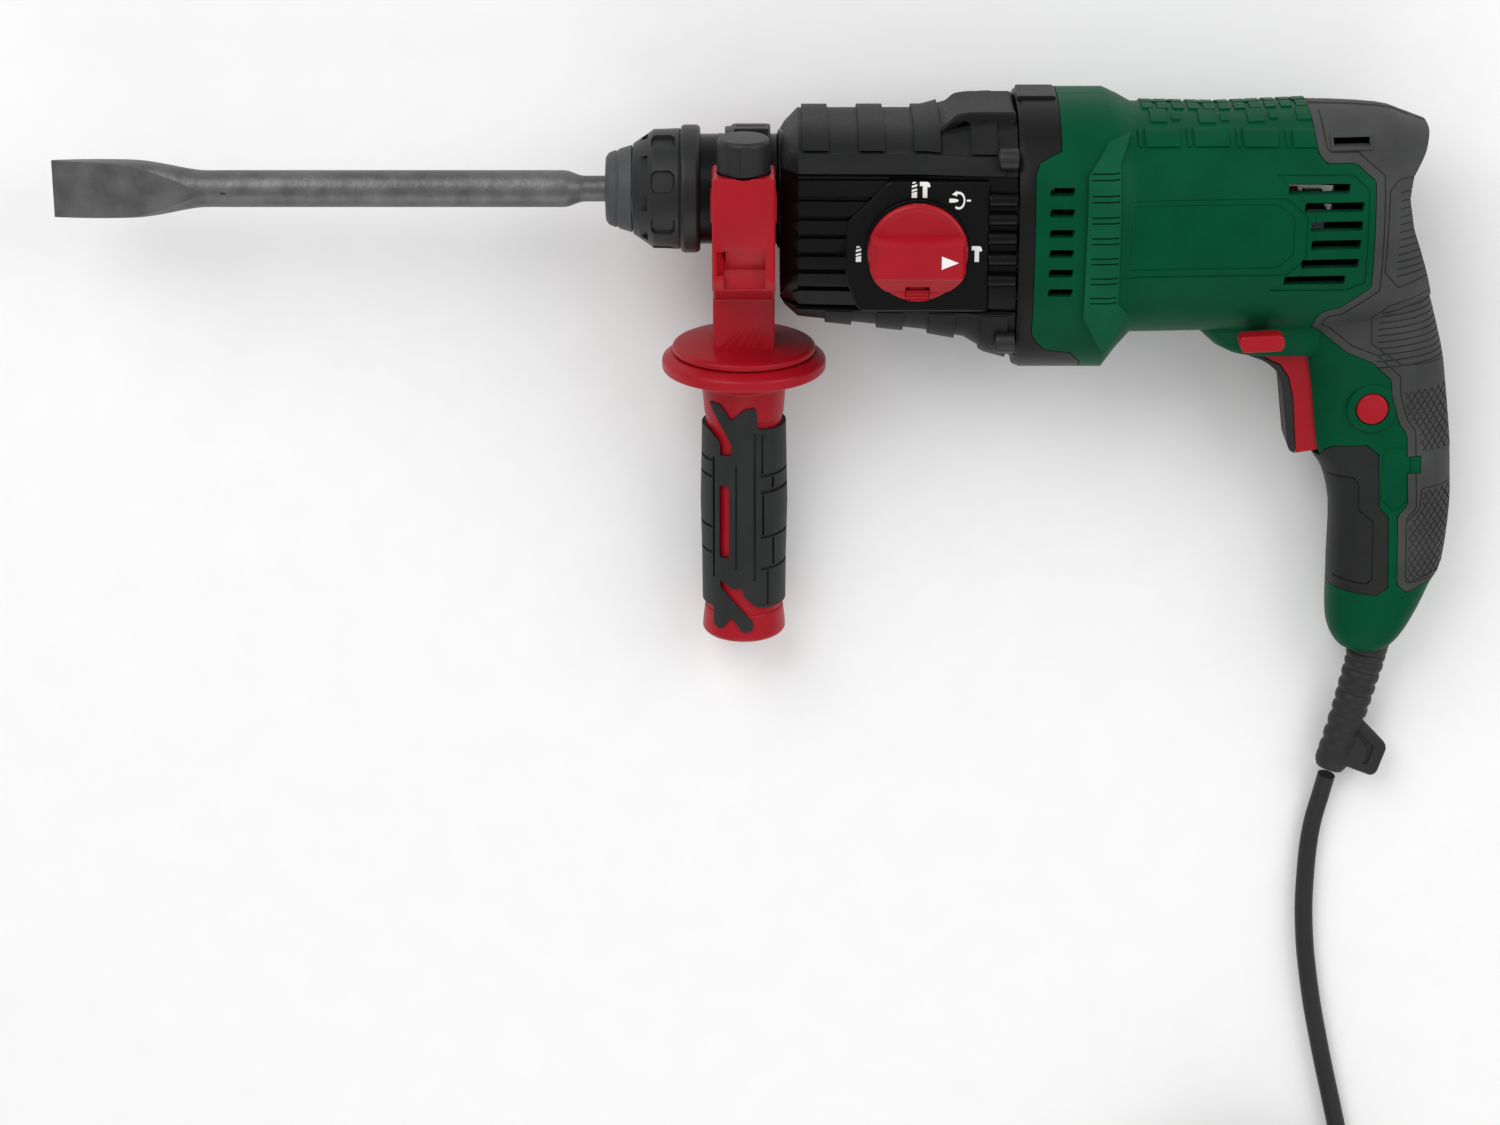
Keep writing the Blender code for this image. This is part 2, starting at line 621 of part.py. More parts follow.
turned("ball_retainer", [(20.6, 13.0), (20.6, 18.8), (28.0, 18.8), (28.0, 16.6), (29.6, 16.6), (29.6, 13.0)], STEEL)
sleeve = turned(
    "locking_sleeve",
    [(10.5, 15.6), (10.5, 17.2), (12.0, 17.6), (16.0, 21.0), (18.5, 23.0), (28.0, SLEEVE_R), (29.0, 23.9),
     (30.5, 24.6), (35.0, 24.6), (36.5, 23.6), (36.5, 22.0), (30.5, 22.0), (29.0, 19.3), (20.2, 19.3),
     (19.2, 18.0), (19.2, 13.1), (14.4, 13.1), (14.4, 15.6)],
    BLACK, steps=24,
)
for i in range(8):
    angle = math.tau * (i + 0.5) / 8
    pocket = box("pocket_%d" % i, (19.6, -4.2, 21.9), (27.2, 4.2, 26.0))
    pocket.data.transform(Matrix.Rotation(angle, 4, "X"))
    cut(sleeve, pocket)


def helix(name, start, end, radius, wire, turns, finish):
    """An open coil spring round the spindle, as one closed tube."""
    curve = bpy.data.curves.new(name, "CURVE")
    curve.dimensions = "3D"
    curve.bevel_depth = wire / 2 * MM
    curve.bevel_resolution = 0
    curve.use_fill_caps = True
    spline = curve.splines.new("POLY")
    count = int(turns * 12)
    spline.points.add(count)
    for i, point in enumerate(spline.points):
        share = i / count
        angle = math.tau * turns * share
        point.co = ((start + (end - start) * share) * MM, radius * math.cos(angle) * MM,
                    radius * math.sin(angle) * MM, 1.0)
    obj = bpy.data.objects.new(name, curve)
    obj.parent = tool
    solids.objects.link(obj)
    curve.materials.append(finish)
    return obj


helix("sleeve_spring", 30.7, 36.9, 14.6, 1.1, 3.0, STEEL)

bit = turned(
    "chisel",
    [(38, 0), (38, 4.2), (37.2, SHANK_R), (-10.0, SHANK_R), (-14.6, BAR_R), (-160.0, BAR_R),
     (-172.0, 6.6), (-172.0, 0)],
    DARK_STEEL, steps=20,
)
blade_outline = [(BIT_TIP_X, -11.3), (BIT_TIP_X, 11.3), (-163.0, 11.0), (-157.0, 9.4), (-152.5, 6.8),
                 (-152.5, -6.8), (-157.0, -9.4), (-163.0, -11.0)]
blade = prism("chisel_blade", blade_outline, "y", -7.0, 7.0)
taper = prism("blade_taper", [(BIT_TIP_X - 5, -0.9), (-150, -7.5), (-150, 7.5), (BIT_TIP_X - 5, 0.9)], "z", -20, 20)
keep(blade, taper)
join(bit, blade)
cut(bit, box("shank_groove", (13.6, -3.4, 3.3), (28.4, 3.4, 8.0)))

# ---------------------------------------------------------------- selector, trigger and buttons

knob = turned(
    "mode_selector",
    [(-26.0, 0), (-26.0, 5.9), (-43.0, 5.9), (-43.0, KNOB_R - 1.0), (-44.5, KNOB_R), (KNOB_FACE_Y + 1.5, KNOB_R),
     (KNOB_FACE_Y + 0.6, KNOB_R - 1.2), (KNOB_FACE_Y + 0.6, 0)],
    RED, (KNOB_X, 0, KNOB_Z), "y", 28,
)
handle = box("knob_bar", (KNOB_X - 17.6, KNOB_FACE_Y - 4.4, KNOB_Z - 5.6), (KNOB_X + 17.6, KNOB_FACE_Y + 3, KNOB_Z + 5.6))
soften(handle, 1.6)
join(knob, handle)
cut(knob, box("latch_room", (KNOB_X - 4.6, -50, KNOB_Z - 24), (KNOB_X + 4.6, -44.2, KNOB_Z - 11.2)))
box("selector_latch", (KNOB_X - 4.2, KNOB_FACE_Y - 0.6, KNOB_Z - 20.6), (KNOB_X + 4.2, -44.5, KNOB_Z - 14.0),
    RED, (KNOB_X, KNOB_FACE_Y, KNOB_Z - 17.3), 0.6)

lever = box("direction_lever", (245.5, -36.0, -58.8), (261.0, 36.0, -54.6), RED, (262.0, 0, -56.0))
for side, sign in (("left", -1), ("right", 1)):
    ends = sorted((sign * 30.0, sign * 37.8))
    join(lever, box("lever_tab_" + side, (242.4, ends[0], -58.2), (259.4, ends[1], -46.0)))
join(lever, turned("lever_pin", [(-4.4, 0), (-4.4, 2.8), (1.6, 2.8), (1.6, 0)], None, (260.0, 0, -55.2), "z", 16))

trigger = prism("trigger", TRIGGER, "y", -9.0, 9.0, RED, (280, 0, -85))
face_zone = prism("face_zone", [(240, -60), (263.5, -60), (267.8, -74.2), (271.2, -100.9), (274.5, -112), (240, -112)],
                  "y", -20, 20)
cut(trigger, face_zone)
face = prism("trigger_face", TRIGGER, "y", -9.5, 9.5, BLACK, (270, 0, -85))
keep(face, prism("face_keep", [(240, -60), (263.2, -60), (267.4, -74.2), (270.8, -100.9), (274.0, -112), (240, -112)],
                 "y", -20, 20))

turned("lock_button", [(-12.5, 0), (-12.5, 6.2), (-18.0, 6.2), (-19.0, 5.2), (-19.0, 0)], RED, (298.7, 0, -84), "y", 20)
box("switch_module", (297.6, -9.0, -108.0), (317.0, 9.0, -64.0), BLACK, (0, 0, 0), 1.0)
box("cord_clamp", (298.0, -9.5, -168.0), (315.0, 9.5, -163.0), BLACK, (0, 0, 0), 0.8)
for number, (x, z, _) in enumerate(SCREWS, 1):
    screw("housing_screw_%d" % number, x, z)

# ---------------------------------------------------------------- side handle

SWING = (HANDLE_X, 0, 0)
bracket_outline = [
    (-41.0, 17.0), (-41.0, -20.0), (-38.5, -25.5), (-15.5, -39.5), (-12.6, -65.6), (12.6, -65.6), (14.5, -40.0),
    (27.0, -22.0), (29.6, -4.0), (29.6, 5.0), (20.0, 5.0), (0.0, 0.0), (-20.0, 5.0), (-21.5, 17.0),
]
bracket = prism("handle_bracket", bracket_outline, "x", 41.3, 65.3, RED, SWING)
cut(bracket, turned("neck_room", [(30, 0), (30, 25.5), (80, 25.5), (80, 0)], None, steps=24))
cut(bracket, turned("bolt_room", [(-90, 0), (-90, 4.4), (-15, 4.4), (-15, 0)], None, SWING, "z", 16))
soften(bracket, 0.8, 1, 50)
join(bracket, turned("bracket_disc", [(-65.7, 4.4), (-65.7, 28.0), (-63.0, 28.0), (-61.0, 15.0), (-61.0, 4.4)], None,
                     SWING, "z", 24))
band = turned("clamp_band", [(48.5, NECK_R + GAP), (48.5, 25.1), (63.5, 25.1), (63.5, NECK_R + GAP)], BLACK, steps=24)
bolt = turned("clamp_bolt", [(-104.0, 0), (-104.0, 4.0), (-31.6, 4.0), (-31.6, 7.4), (-25.8, 7.4), (-25.8, 0)], STEEL, SWING, "z", 16)
cut(bracket, turned("head_room", [(-32.2, 0), (-32.2, 7.9), (-15, 7.9), (-15, 0)], None, SWING, "z", 16))
cut(bracket, turned("button_room", [(11.6, 0), (11.6, 7.8), (20, 7.8), (20, 0)], None, (HANDLE_X, -30.4, 0), "z", 20))
turned("depth_stop_button", [(14.4, 0), (14.4, 7.4), (19.8, 7.4), (19.8, 10.8), (27.6, 10.8), (29.0, 9.4), (29.0, 0)], BLACK,
               (HANDLE_X, -30.4, 0), "z", 20)
turned(
    "side_grip_core",
    [(-66.1, 4.4), (-66.1, 28.7), (-67.6, 30.8), (-68.6, FLANGE_R), (-72.6, FLANGE_R), (-74.5, 27.0),
     (-76.5, 19.0), (-80.0, 16.2), (-91.6, 15.6), (-91.6, 13.2), (-172.4, 13.2), (-172.4, 15.6), (-179.0, 16.4),
     (-182.4, 16.6), (SIDE_GRIP_END_Z, 15.6), (SIDE_GRIP_END_Z, 0.0), (-106.0, 0.0), (-106.0, 4.4)],
    RED, SWING, "z", 24,
)
turned(
    "side_grip_cover",
    [(-92.0, 13.5), (-92.0, 15.6), (-104.0, 16.0), (-128.0, 16.7), (-150.0, 16.0), (-172.0, 15.6), (-172.0, 13.5)],
    SOFT, SWING, "z", 24,
)

# ---------------------------------------------------------------- cord


def tube(name, route, diameter, finish, resolution=2):
    """A round cord through points on the bench frame, in millimetres."""
    curve = bpy.data.curves.new(name, "CURVE")
    curve.dimensions = "3D"
    curve.resolution_u = 3
    curve.bevel_depth = diameter / 2 * MM
    curve.bevel_resolution = resolution
    curve.use_fill_caps = True
    spline = curve.splines.new("BEZIER")
    spline.bezier_points.add(len(route) - 1)
    for point, place in zip(spline.bezier_points, route):
        point.co = Vector(place) * MM
        point.handle_left_type = "AUTO"
        point.handle_right_type = "AUTO"
    obj = bpy.data.objects.new(name, curve)
    obj.location = (CENTRE_X * MM, CENTRE_Y * MM, 0.0)
    solids.objects.link(obj)
    curve.materials.append(finish)
    return obj


# The sleeve leaves the grip's end and stays just above the bench; x, y and height from the bench.
RELIEF = ((306.6, -180.0, 18.0), (304.2, -195.0, 15.2), (299.4, -216.0, 11.2), (292.3, -240.6, 8.6))
relief = loft("strain_relief_form", [
    [tuple(Vector(place) + radius * (math.cos(t) * side + math.sin(t) * lift))
     for t in (math.tau * i / 16 for i in range(16))]
    for place, radius, side, lift in (
        (RELIEF[0], 8.6, Vector((1, 0.1, 0)), Vector((0, 0.17, 0.985))),
        (RELIEF[1], 8.6, Vector((0.98, -0.2, 0)), Vector((0, 0.17, 0.985))),
        (RELIEF[2], 8.0, Vector((0.96, -0.26, 0)), Vector((0, 0.17, 0.985))),
        (RELIEF[3], 7.3, Vector((0.96, -0.28, 0)), Vector((0, 0.14, 0.99))),
    )
])
promote(relief, "strain_relief", CABLE)
relief.parent = None
relief.location = (CENTRE_X * MM, CENTRE_Y * MM, 0.0)

CORD_Z = CORD_D / 2 + 0.3
COIL_AT = (258.0, -468.0)
ROUTE = (
    (291.4, -244.0, 7.9), (289.6, -253.0, 5.4), (286.6, -266.0, CORD_Z), (284.6, -285.0, CORD_Z),
    (284.4, -308.0, CORD_Z), (287.2, -334.0, CORD_Z), (292.1, -360.0, CORD_Z), (298.0, -386.0, CORD_Z),
    (303.5, -410.0, CORD_Z), (308.0, -430.0, CORD_Z),
)
tube("power_cord", ROUTE, CORD_D, CABLE)


def bench(obj, place):
    """Takes a part off the tool frame and stands it on the bench."""
    obj.parent = None
    obj.location = ((place[0] + CENTRE_X) * MM, (place[1] + CENTRE_Y) * MM, place[2] * MM)
    return obj


bench(turned("cord_coil",
             [(0.1, COIL_INNER_R + 3), (0.1, COIL_OUTER_R - 3), (4.0, COIL_OUTER_R - 0.6), (COIL_HEIGHT - 4, COIL_OUTER_R - 0.6),
              (COIL_HEIGHT, COIL_OUTER_R - 3), (COIL_HEIGHT, COIL_INNER_R + 3), (COIL_HEIGHT - 4, COIL_INNER_R),
              (4.0, COIL_INNER_R)],
             CABLE, (0, 0, 0), "z", 24), (*COIL_AT, 0.0))
plug_outline = [(17.5 * math.cos(t), 17.5 * math.sin(t)) for t in (math.radians(d) for d in range(-60, 241, 20))]
plug = prism("plug", [(9.0, -27.0)] + plug_outline[:] + [(-9.0, -27.0)], "z", 0.1, 18.1, CABLE)
soften(plug, 2.5, 1, 50)
for x in (-9.5, 9.5):
    pin = turned("plug_pin_%d" % (x > 0), [(10.0, 0), (10.0, 2.4), (35.5, 2.4), (36.5, 1.6), (36.5, 0)], None, (x, 0, 9.1), "y", 12)
    join(plug, pin)
    pin.parent = None
    pin.location = ((x + 172.0 + CENTRE_X) * MM, (-470.0 + CENTRE_Y) * MM, 9.1 * MM)
bench(plug, (172.0, -470.0, 0.0))
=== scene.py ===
import json
import math

import bmesh
import bpy
from mathutils import Matrix, Vector

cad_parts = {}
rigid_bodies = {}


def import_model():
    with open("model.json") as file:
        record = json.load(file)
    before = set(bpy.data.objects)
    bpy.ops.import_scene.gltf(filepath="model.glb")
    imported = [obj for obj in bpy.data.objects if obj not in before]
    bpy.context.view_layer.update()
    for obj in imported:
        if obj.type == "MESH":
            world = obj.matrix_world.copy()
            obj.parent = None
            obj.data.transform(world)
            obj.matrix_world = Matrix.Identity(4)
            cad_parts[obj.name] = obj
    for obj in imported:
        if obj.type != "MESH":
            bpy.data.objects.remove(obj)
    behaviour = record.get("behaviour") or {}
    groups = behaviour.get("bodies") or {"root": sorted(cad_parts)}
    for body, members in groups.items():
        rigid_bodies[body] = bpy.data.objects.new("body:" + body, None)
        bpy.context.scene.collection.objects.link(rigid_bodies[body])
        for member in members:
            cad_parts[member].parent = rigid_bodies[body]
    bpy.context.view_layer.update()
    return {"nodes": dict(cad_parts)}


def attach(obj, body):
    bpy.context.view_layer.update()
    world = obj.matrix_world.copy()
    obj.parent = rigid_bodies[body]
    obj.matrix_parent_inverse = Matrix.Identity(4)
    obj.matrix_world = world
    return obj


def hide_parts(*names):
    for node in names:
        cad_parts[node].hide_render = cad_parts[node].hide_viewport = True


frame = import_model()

MM = 0.001
GAP = 0.3
RING_SIDES = 72

# How the tool lies, as in the CAD part.
TILT = 10.3
LIFT = 49.25
CENTRE = Vector((-60.03, 101.67, 0.0)) * MM
TOOL = (
    Matrix.Translation(CENTRE + Vector((0, 0, LIFT * MM)))
    @ Matrix.Rotation(-math.radians(90.0 - TILT), 4, "X")
)
BENCH = Matrix.Translation(CENTRE)

NECK_R = 21.2
KNOB_X, KNOB_Z, KNOB_R, KNOB_FACE_Y = 119.1, -12.0, 19.0, -47.0
KNOB = (KNOB_X, 0, KNOB_Z)
HANDLE_X = 53.3
HANDLE = (HANDLE_X, 0, 0)
DEPTH_STOP = (HANDLE_X, -30.4, 0)
LOCK_BUTTON = (298.7, 0, -84)
RELIEF_HOLE = (306, 0, -187)
FLANGE_R = 32.2
SIDE_GRIP_END_Z = -184.0
CORD_D = 7.4

# Housing sections along x: x, centre height, half height, half width, squareness.
BARREL = (
    (157.4, -15.1, 52.4, 44.0, 2.5),
    (160.0, -15.1, 53.4, 45.0, 2.5),
    (191.6, -15.1, 53.4, 45.0, 2.5),
    (197.0, -12.6, 48.6, 43.2, 2.4),
    (202.6, -11.0, 44.0, 41.4, 2.3),
    (235.0, -11.0, 43.4, 41.0, 2.3),
    (270.0, -10.0, 44.0, 41.0, 2.3),
    (297.0, -8.9, 41.8, 38.5, 2.3),
    (307.0, -8.7, 38.9, 34.5, 2.3),
    (315.0, -8.2, 35.6, 28.5, 2.3),
    (324.0, -7.8, 32.0, 19.0, 2.3),
)
# Side view of the angular rear end: a cap that overhangs the waist above the grip.
REAR_END = (
    (150.0, -90.0), (150.0, 60.0), (300.0, 60.0), (311.0, 32.5), (316.1, 27.0), (313.0, 20.5), (307.2, 13.0),
    (305.8, 5.5), (307.9, -6.0), (313.8, -22.0), (320.8, -42.0), (326.0, -62.0), (326.0, -90.0),
)
# Pistol grip sections down z: height, front x, rear x, half width.
GRIP = (
    (6.0, 268.0, 306.2, 20.0),
    (-12.0, 266.0, 309.0, 22.0),
    (-33.0, 264.0, 318.0, 21.0),
    (-62.0, 270.0, 326.6, 18.6),
    (-78.0, 272.4, 329.4, 17.5),
    (-100.0, 275.0, 332.4, 17.0),
    (-106.5, 277.6, 332.9, 17.0),
    (-114.0, 282.4, 333.4, 17.1),
    (-129.0, 286.3, 334.1, 17.3),
    (-152.0, 286.7, 332.4, 17.3),
    (-161.0, 287.0, 328.4, 17.3),
    (-172.0, 287.2, 324.0, 17.0),
    (-181.0, 288.2, 319.4, 16.6),
    (-186.8, 291.0, 315.0, 14.8),
    (-189.0, 294.0, 311.2, 12.4),
)
CHIN = (
    (-36.0, 224.0, 282.0, 20.0), (-52.6, 228.6, 281.5, 18.8), (-59.4, 235.8, 281.0, 17.4),
    (-62.4, 241.4, 280.0, 15.8),
    (-63.6, 245.4, 279.5, 14.2),
)
GEARBOX = (
    (67.3, 22.4, -41.1, 32.1),
    (69.0, 25.0, -43.7, 34.9),
    (74.0, 30.0, -48.0, 39.0),
    (122.0, 30.0, -53.2, 40.4),
    (138.0, 34.6, -56.2, 41.4),
    (146.0, 35.2, -61.0, 42.0),
    (156.8, 35.4, -64.0, 42.4),
)
# Side-view outlines, x and z.
COLLAR_EDGE = (
    (150.0, 60.0), (173.0, 60.0), (173.4, 24.4), (168.7, 22.5), (165.0, 20.5), (163.5, 16.6),
    (163.3, -46.0), (165.4, -50.0), (168.9, -53.7), (178.6, -55.3), (182.6, -60.5), (184.0, -80.0),
    (150.0, -80.0),
)
REAR_SOFT = (
    (266.4, 60.0), (268.5, 41.0), (269.8, 27.0), (270.6, 22.4), (273.6, 19.1), (284.6, 19.1),
    (292.1, 13.0), (292.3, -28.7), (281.1, -37.9), (276.0, -39.0), (272.9, -42.4), (272.5, -49.4),
    (287.5, -61.0), (297.5, -65.0), (305.5, -72.5), (306.2, -80.0), (309.7, -90.6), (313.0, -95.3),
    (313.7, -104.4), (314.9, -124.5), (311.2, -129.3),
    (312.7, -158.3), (316.7, -162.2),
    (324.9, -158.9), (345.0, -152.0), (345.0, 60.0),
)
FRONT_SOFT = (
    (274.0, -106.0), (279.7, -106.3), (281.7, -102.4), (285.3, -100.5), (297.8, -99.5),
    (302.7, -103.4), (304.0, -125.5), (307.9, -129.5), (309.5, -159.7), (305.0, -163.1),
    (285.8, -161.6), (274.0, -161.0),
)
TRIGGER = (
    (247.0, -60.6), (249.6, -64.8), (256.6, -67.2), (261.4, -70.8), (264.2, -77.0), (267.4, -102.0), (268.4, -104.6),
    (270.8, -105.8), (280.0, -104.2), (291.0, -100.0), (291.0, -60.6),
)
TRIGGER_SPLIT = (
    (240.0, -60.0), (254.4, -60.0), (257.0, -65.9), (263.0, -68.6), (266.6, -73.6), (268.8, -82.0), (271.0, -106.0),
    (272.0, -112.0), (240.0, -112.0),
)
BAND = (
    (190.9, 27.5), (199.8, 29.5), (195.3, 20.8), (195.6, -33.0), (200.3, -39.1), (190.9, -55.5),
    (182.4, -38.4), (183.2, 16.6),
)
NOTCH = ((310.0, -104.8), (319.2, -104.6), (319.4, -111.2), (310.0, -111.4))
# The slot of the brush cap, the rim round it and the room for that rim in the shell.
CAP_SLOT = ((276.6, -62, 24.6), (290.6, -12, 27.4))
CAP_RIM = ((275.6, -62, 23.5), (291.6, -12, 28.5))
CAP_ROOM = ((274.8, -62, 22.8), (292.4, -12, 29.2))
SCREWS = ((262.0, -45.6), (302.5, -122.0))

# -------------------- materials


def node(tree, kind, **settings):
    made = tree.nodes.new(kind)
    for key, value in settings.items():
        setattr(made, key, value)
    return made


def noise_of(tree, coords, scale, detail=3.0, stretch=None):
    """A noise texture on object coordinates, stretched along an axis if asked."""
    found = node(tree, "ShaderNodeTexNoise")
    found.inputs["Scale"].default_value = scale
    found.inputs["Detail"].default_value = detail
    source = coords.outputs["Object"]
    if stretch:
        mapping = node(tree, "ShaderNodeMapping")
        mapping.inputs["Scale"].default_value = stretch
        tree.links.new(source, mapping.inputs["Vector"])
        source = mapping.outputs["Vector"]
    tree.links.new(source, found.inputs["Vector"])
    return found.outputs["Fac"]


def remap(tree, value, low, high):
    found = node(tree, "ShaderNodeMapRange")
    found.inputs["From Min"].default_value = 0.3
    found.inputs["From Max"].default_value = 0.7
    found.inputs["To Min"].default_value = low
    found.inputs["To Max"].default_value = high
    tree.links.new(value, found.inputs["Value"])
    return found.outputs["Result"]


def surface(name, colour, roughness, metallic=0.0, grain=1100.0, depth=0.06, patch=55.0, tone=0.12,
            rough_by=0.06, stretch=None, specular=0.5, dust=0.0):
    """Moulded or machined stuff: patchy tone, uneven gloss and a fine grain, all from object coordinates."""
    mat = bpy.data.materials.new(name)
    mat.use_nodes = True
    tree = mat.node_tree
    shader = tree.nodes["Principled BSDF"]
    shader.inputs["Metallic"].default_value = metallic
    shader.inputs["Specular IOR Level"].default_value = specular
    coords = node(tree, "ShaderNodeTexCoord")
    broad = noise_of(tree, coords, patch, 4.0)
    fine = noise_of(tree, coords, grain, 2.0, stretch)
    mix = node(tree, "ShaderNodeMix", data_type="RGBA")
    mix.inputs["A"].default_value = (*(c * (1 - tone) for c in colour), 1.0)
    mix.inputs["B"].default_value = (*(min(1.0, c * (1 + tone) + dust) for c in colour), 1.0)
    tree.links.new(remap(tree, broad, 0.0, 1.0), mix.inputs["Factor"])
    tree.links.new(mix.outputs["Result"], shader.inputs["Base Color"])
    blend = node(tree, "ShaderNodeMath", operation="ADD")
    tree.links.new(remap(tree, broad, roughness - rough_by, roughness), blend.inputs[0])
    tree.links.new(remap(tree, fine, 0.0, rough_by), blend.inputs[1])
    tree.links.new(blend.outputs[0], shader.inputs["Roughness"])
    bump = node(tree, "ShaderNodeBump")
    bump.inputs["Distance"].default_value = depth * MM
    bump.inputs["Strength"].default_value = 0.6
    tree.links.new(fine, bump.inputs["Height"])
    tree.links.new(bump.outputs["Normal"], shader.inputs["Normal"])
    return mat


GREEN = surface("moulded_green", (0.0002, 0.0605, 0.0238), 0.42, grain=1500, depth=0.05, tone=0.10, specular=0.05)
BAND_GREEN = surface("textured_green", (0.002, 0.076, 0.0335), 0.56, grain=900, depth=0.12, tone=0.14, specular=0.07)
SOFT = surface("soft_black", (0.045, 0.0455, 0.046), 0.60, grain=1300, depth=0.09, tone=0.16, specular=0.15,
               dust=0.003)
GRIP_SOFT = surface("grip_black", (0.014, 0.015, 0.015), 0.56, grain=1300, depth=0.09, tone=0.16, specular=0.25,
                    dust=0.002)
PAD_SOFT = surface("pad_black", (0.011, 0.0115, 0.012), 0.5, grain=1300, depth=0.07, tone=0.14, specular=0.2,
                   dust=0.001)
BLACK = surface("moulded_black", (0.013, 0.0135, 0.0145), 0.42, grain=1400, depth=0.05, tone=0.14, specular=0.28)
COLLAR = surface("collar_black", (0.007, 0.007, 0.0074), 0.38, grain=1400, depth=0.04, tone=0.12, specular=0.12)
GREY = surface("moulded_grey", (0.055, 0.057, 0.060), 0.55, grain=1200, depth=0.06, specular=0.3)
CASTING = surface("painted_casting", (0.0022, 0.0023, 0.0026), 0.30, grain=700, depth=0.10, tone=0.2, specular=0.14)
JACKET = surface("jacket_black", (0.01, 0.0103, 0.0107), 0.48, grain=1100, depth=0.08, tone=0.15, specular=0.12)
RED = surface("moulded_red", (0.335, 0.0045, 0.0125), 0.36, grain=1500, depth=0.04, tone=0.06, specular=0.2)
DEEP_RED = surface("inner_red", (0.16, 0.004, 0.008), 0.5, grain=900, depth=0.05)
FORGED = surface("forged_steel", (0.135, 0.135, 0.137), 0.46, 0.85, grain=330, depth=0.5, patch=90, tone=0.25)
STEEL = surface("turned_steel", (0.50, 0.50, 0.50), 0.30, 1.0, grain=1.0, depth=0.03, stretch=(2600, 60, 60))
# Blackened steel for real dark parts; on the rear motor bearing it is painted shade for the dark behind the rear
# vents.
DARK_STEEL_AND_SHADE = surface("black_steel_and_shade", (0.15, 0.15, 0.16), 0.38, 1.0, grain=1.0, depth=0.03, stretch=(1800, 60, 60))
BLACKED = surface("blackened_steel", (0.02, 0.02, 0.021), 0.4, 0.5, grain=900, depth=0.05)
LAMINATION = surface("stacked_sheet", (0.22, 0.22, 0.23), 0.45, 1.0, grain=1.0, depth=0.15, stretch=(1500, 5, 5))
COPPER = surface("enamelled_copper", (0.62, 0.22, 0.08), 0.35, 1.0, grain=1.0, depth=0.3, stretch=(400, 900, 900))
CARBON = surface("pressed_carbon", (0.03, 0.03, 0.032), 0.6, grain=1600, depth=0.05)
WHITE = surface("printed_white", (0.80, 0.80, 0.78), 0.5, grain=1200, depth=0.01, tone=0.04)
CABLE = surface("cord_rubber", (0.018, 0.018, 0.0185), 0.52, grain=900, depth=0.05, tone=0.15, specular=0.25)
BRASS = surface("nickelled_brass", (0.62, 0.60, 0.56), 0.28, 1.0, grain=1.0, depth=0.03, stretch=(60, 2200, 60))

# -------------------- shapes


def carry(form, place=TOOL, name="form"):
    """An object from a bmesh in millimetres, put where the given frame says."""
    bmesh.ops.recalc_face_normals(form, faces=form.faces)
    form.transform(Matrix.Scale(MM, 4))
    mesh = bpy.data.meshes.new(name)
    form.to_mesh(mesh)
    form.free()
    obj = bpy.data.objects.new(name, mesh)
    obj.matrix_world = place
    bpy.context.scene.collection.objects.link(obj)
    return obj


def loft(rings, place=TOOL):
    """A closed skin over rings of points, with a face on each end."""
    form = bmesh.new()
    rows = [[form.verts.new(p) for p in points] for points in rings]
    count = len(rings[0])
    for first, second in zip(rows, rows[1:]):
        for i in range(count):
            j = (i + 1) % count
            form.faces.new((first[i], first[j], second[j], second[i]))
    form.faces.new(list(reversed(rows[0])))
    form.faces.new(rows[-1])
    return carry(form, place)


def inside(outline, by):
    """The same outline taken in by a small amount, corner by corner."""
    pts = [Vector(p) for p in outline]
    area = sum(a.x * b.y - b.x * a.y for a, b in zip(pts, pts[1:] + pts[:1]))
    side = 1.0 if area > 0 else -1.0
    found = []
    for before, here, after in zip(pts[-1:] + pts[:-1], pts, pts[1:] + pts[:1]):
        one = (here - before).normalized()
        two = (after - here).normalized()
        n_one = Vector((-one.y, one.x)) * side
        n_two = Vector((-two.y, two.x)) * side
        mid = (n_one + n_two).normalized()
        found.append(here + mid * (by / max(0.5, mid.dot(n_one))))
    return [tuple(p) for p in found]


def rounded(points, radius, closed=True, steps=3):
    """A 2-D line with its corners rounded."""
    pts = [Vector(p) for p in points]
    found = []
    last = len(pts) - 1
    for i, here in enumerate(pts):
        if not closed and i in (0, last):
            found.append(tuple(here))
            continue
        before, after = pts[i - 1] - here, pts[(i + 1) % len(pts)] - here
        reach = min(radius, before.length * 0.45, after.length * 0.45)
        if reach < 1e-3 or before.angle(after, math.pi) > math.radians(172):
            found.append(tuple(here))
            continue
        start, end = here + before.normalized() * reach, here + after.normalized() * reach
        for k in range(steps + 1):
            t = k / steps
            found.append(tuple(start * (1 - t) ** 2 + here * 2 * t * (1 - t) + end * t ** 2))
    return found


PLACES = {
    "x": lambda p, at: (at, p[0], p[1]),
    "y": lambda p, at: (p[0], at, p[1]),
    "z": lambda p, at: (p[0], p[1], at),
}


def prism(outline, across, low, high, edge=0.0):
    """An outline carried along one axis, with its rims cut back by edge."""
    stations = [(outline, low), (outline, high)]
    if edge:
        small = inside(outline, edge)
        stations = [(small, low), (outline, low + edge), (outline, high - edge), (small, high)]
    put = PLACES[across]
    return loft([[put(p, at) for p in line] for line, at in stations])


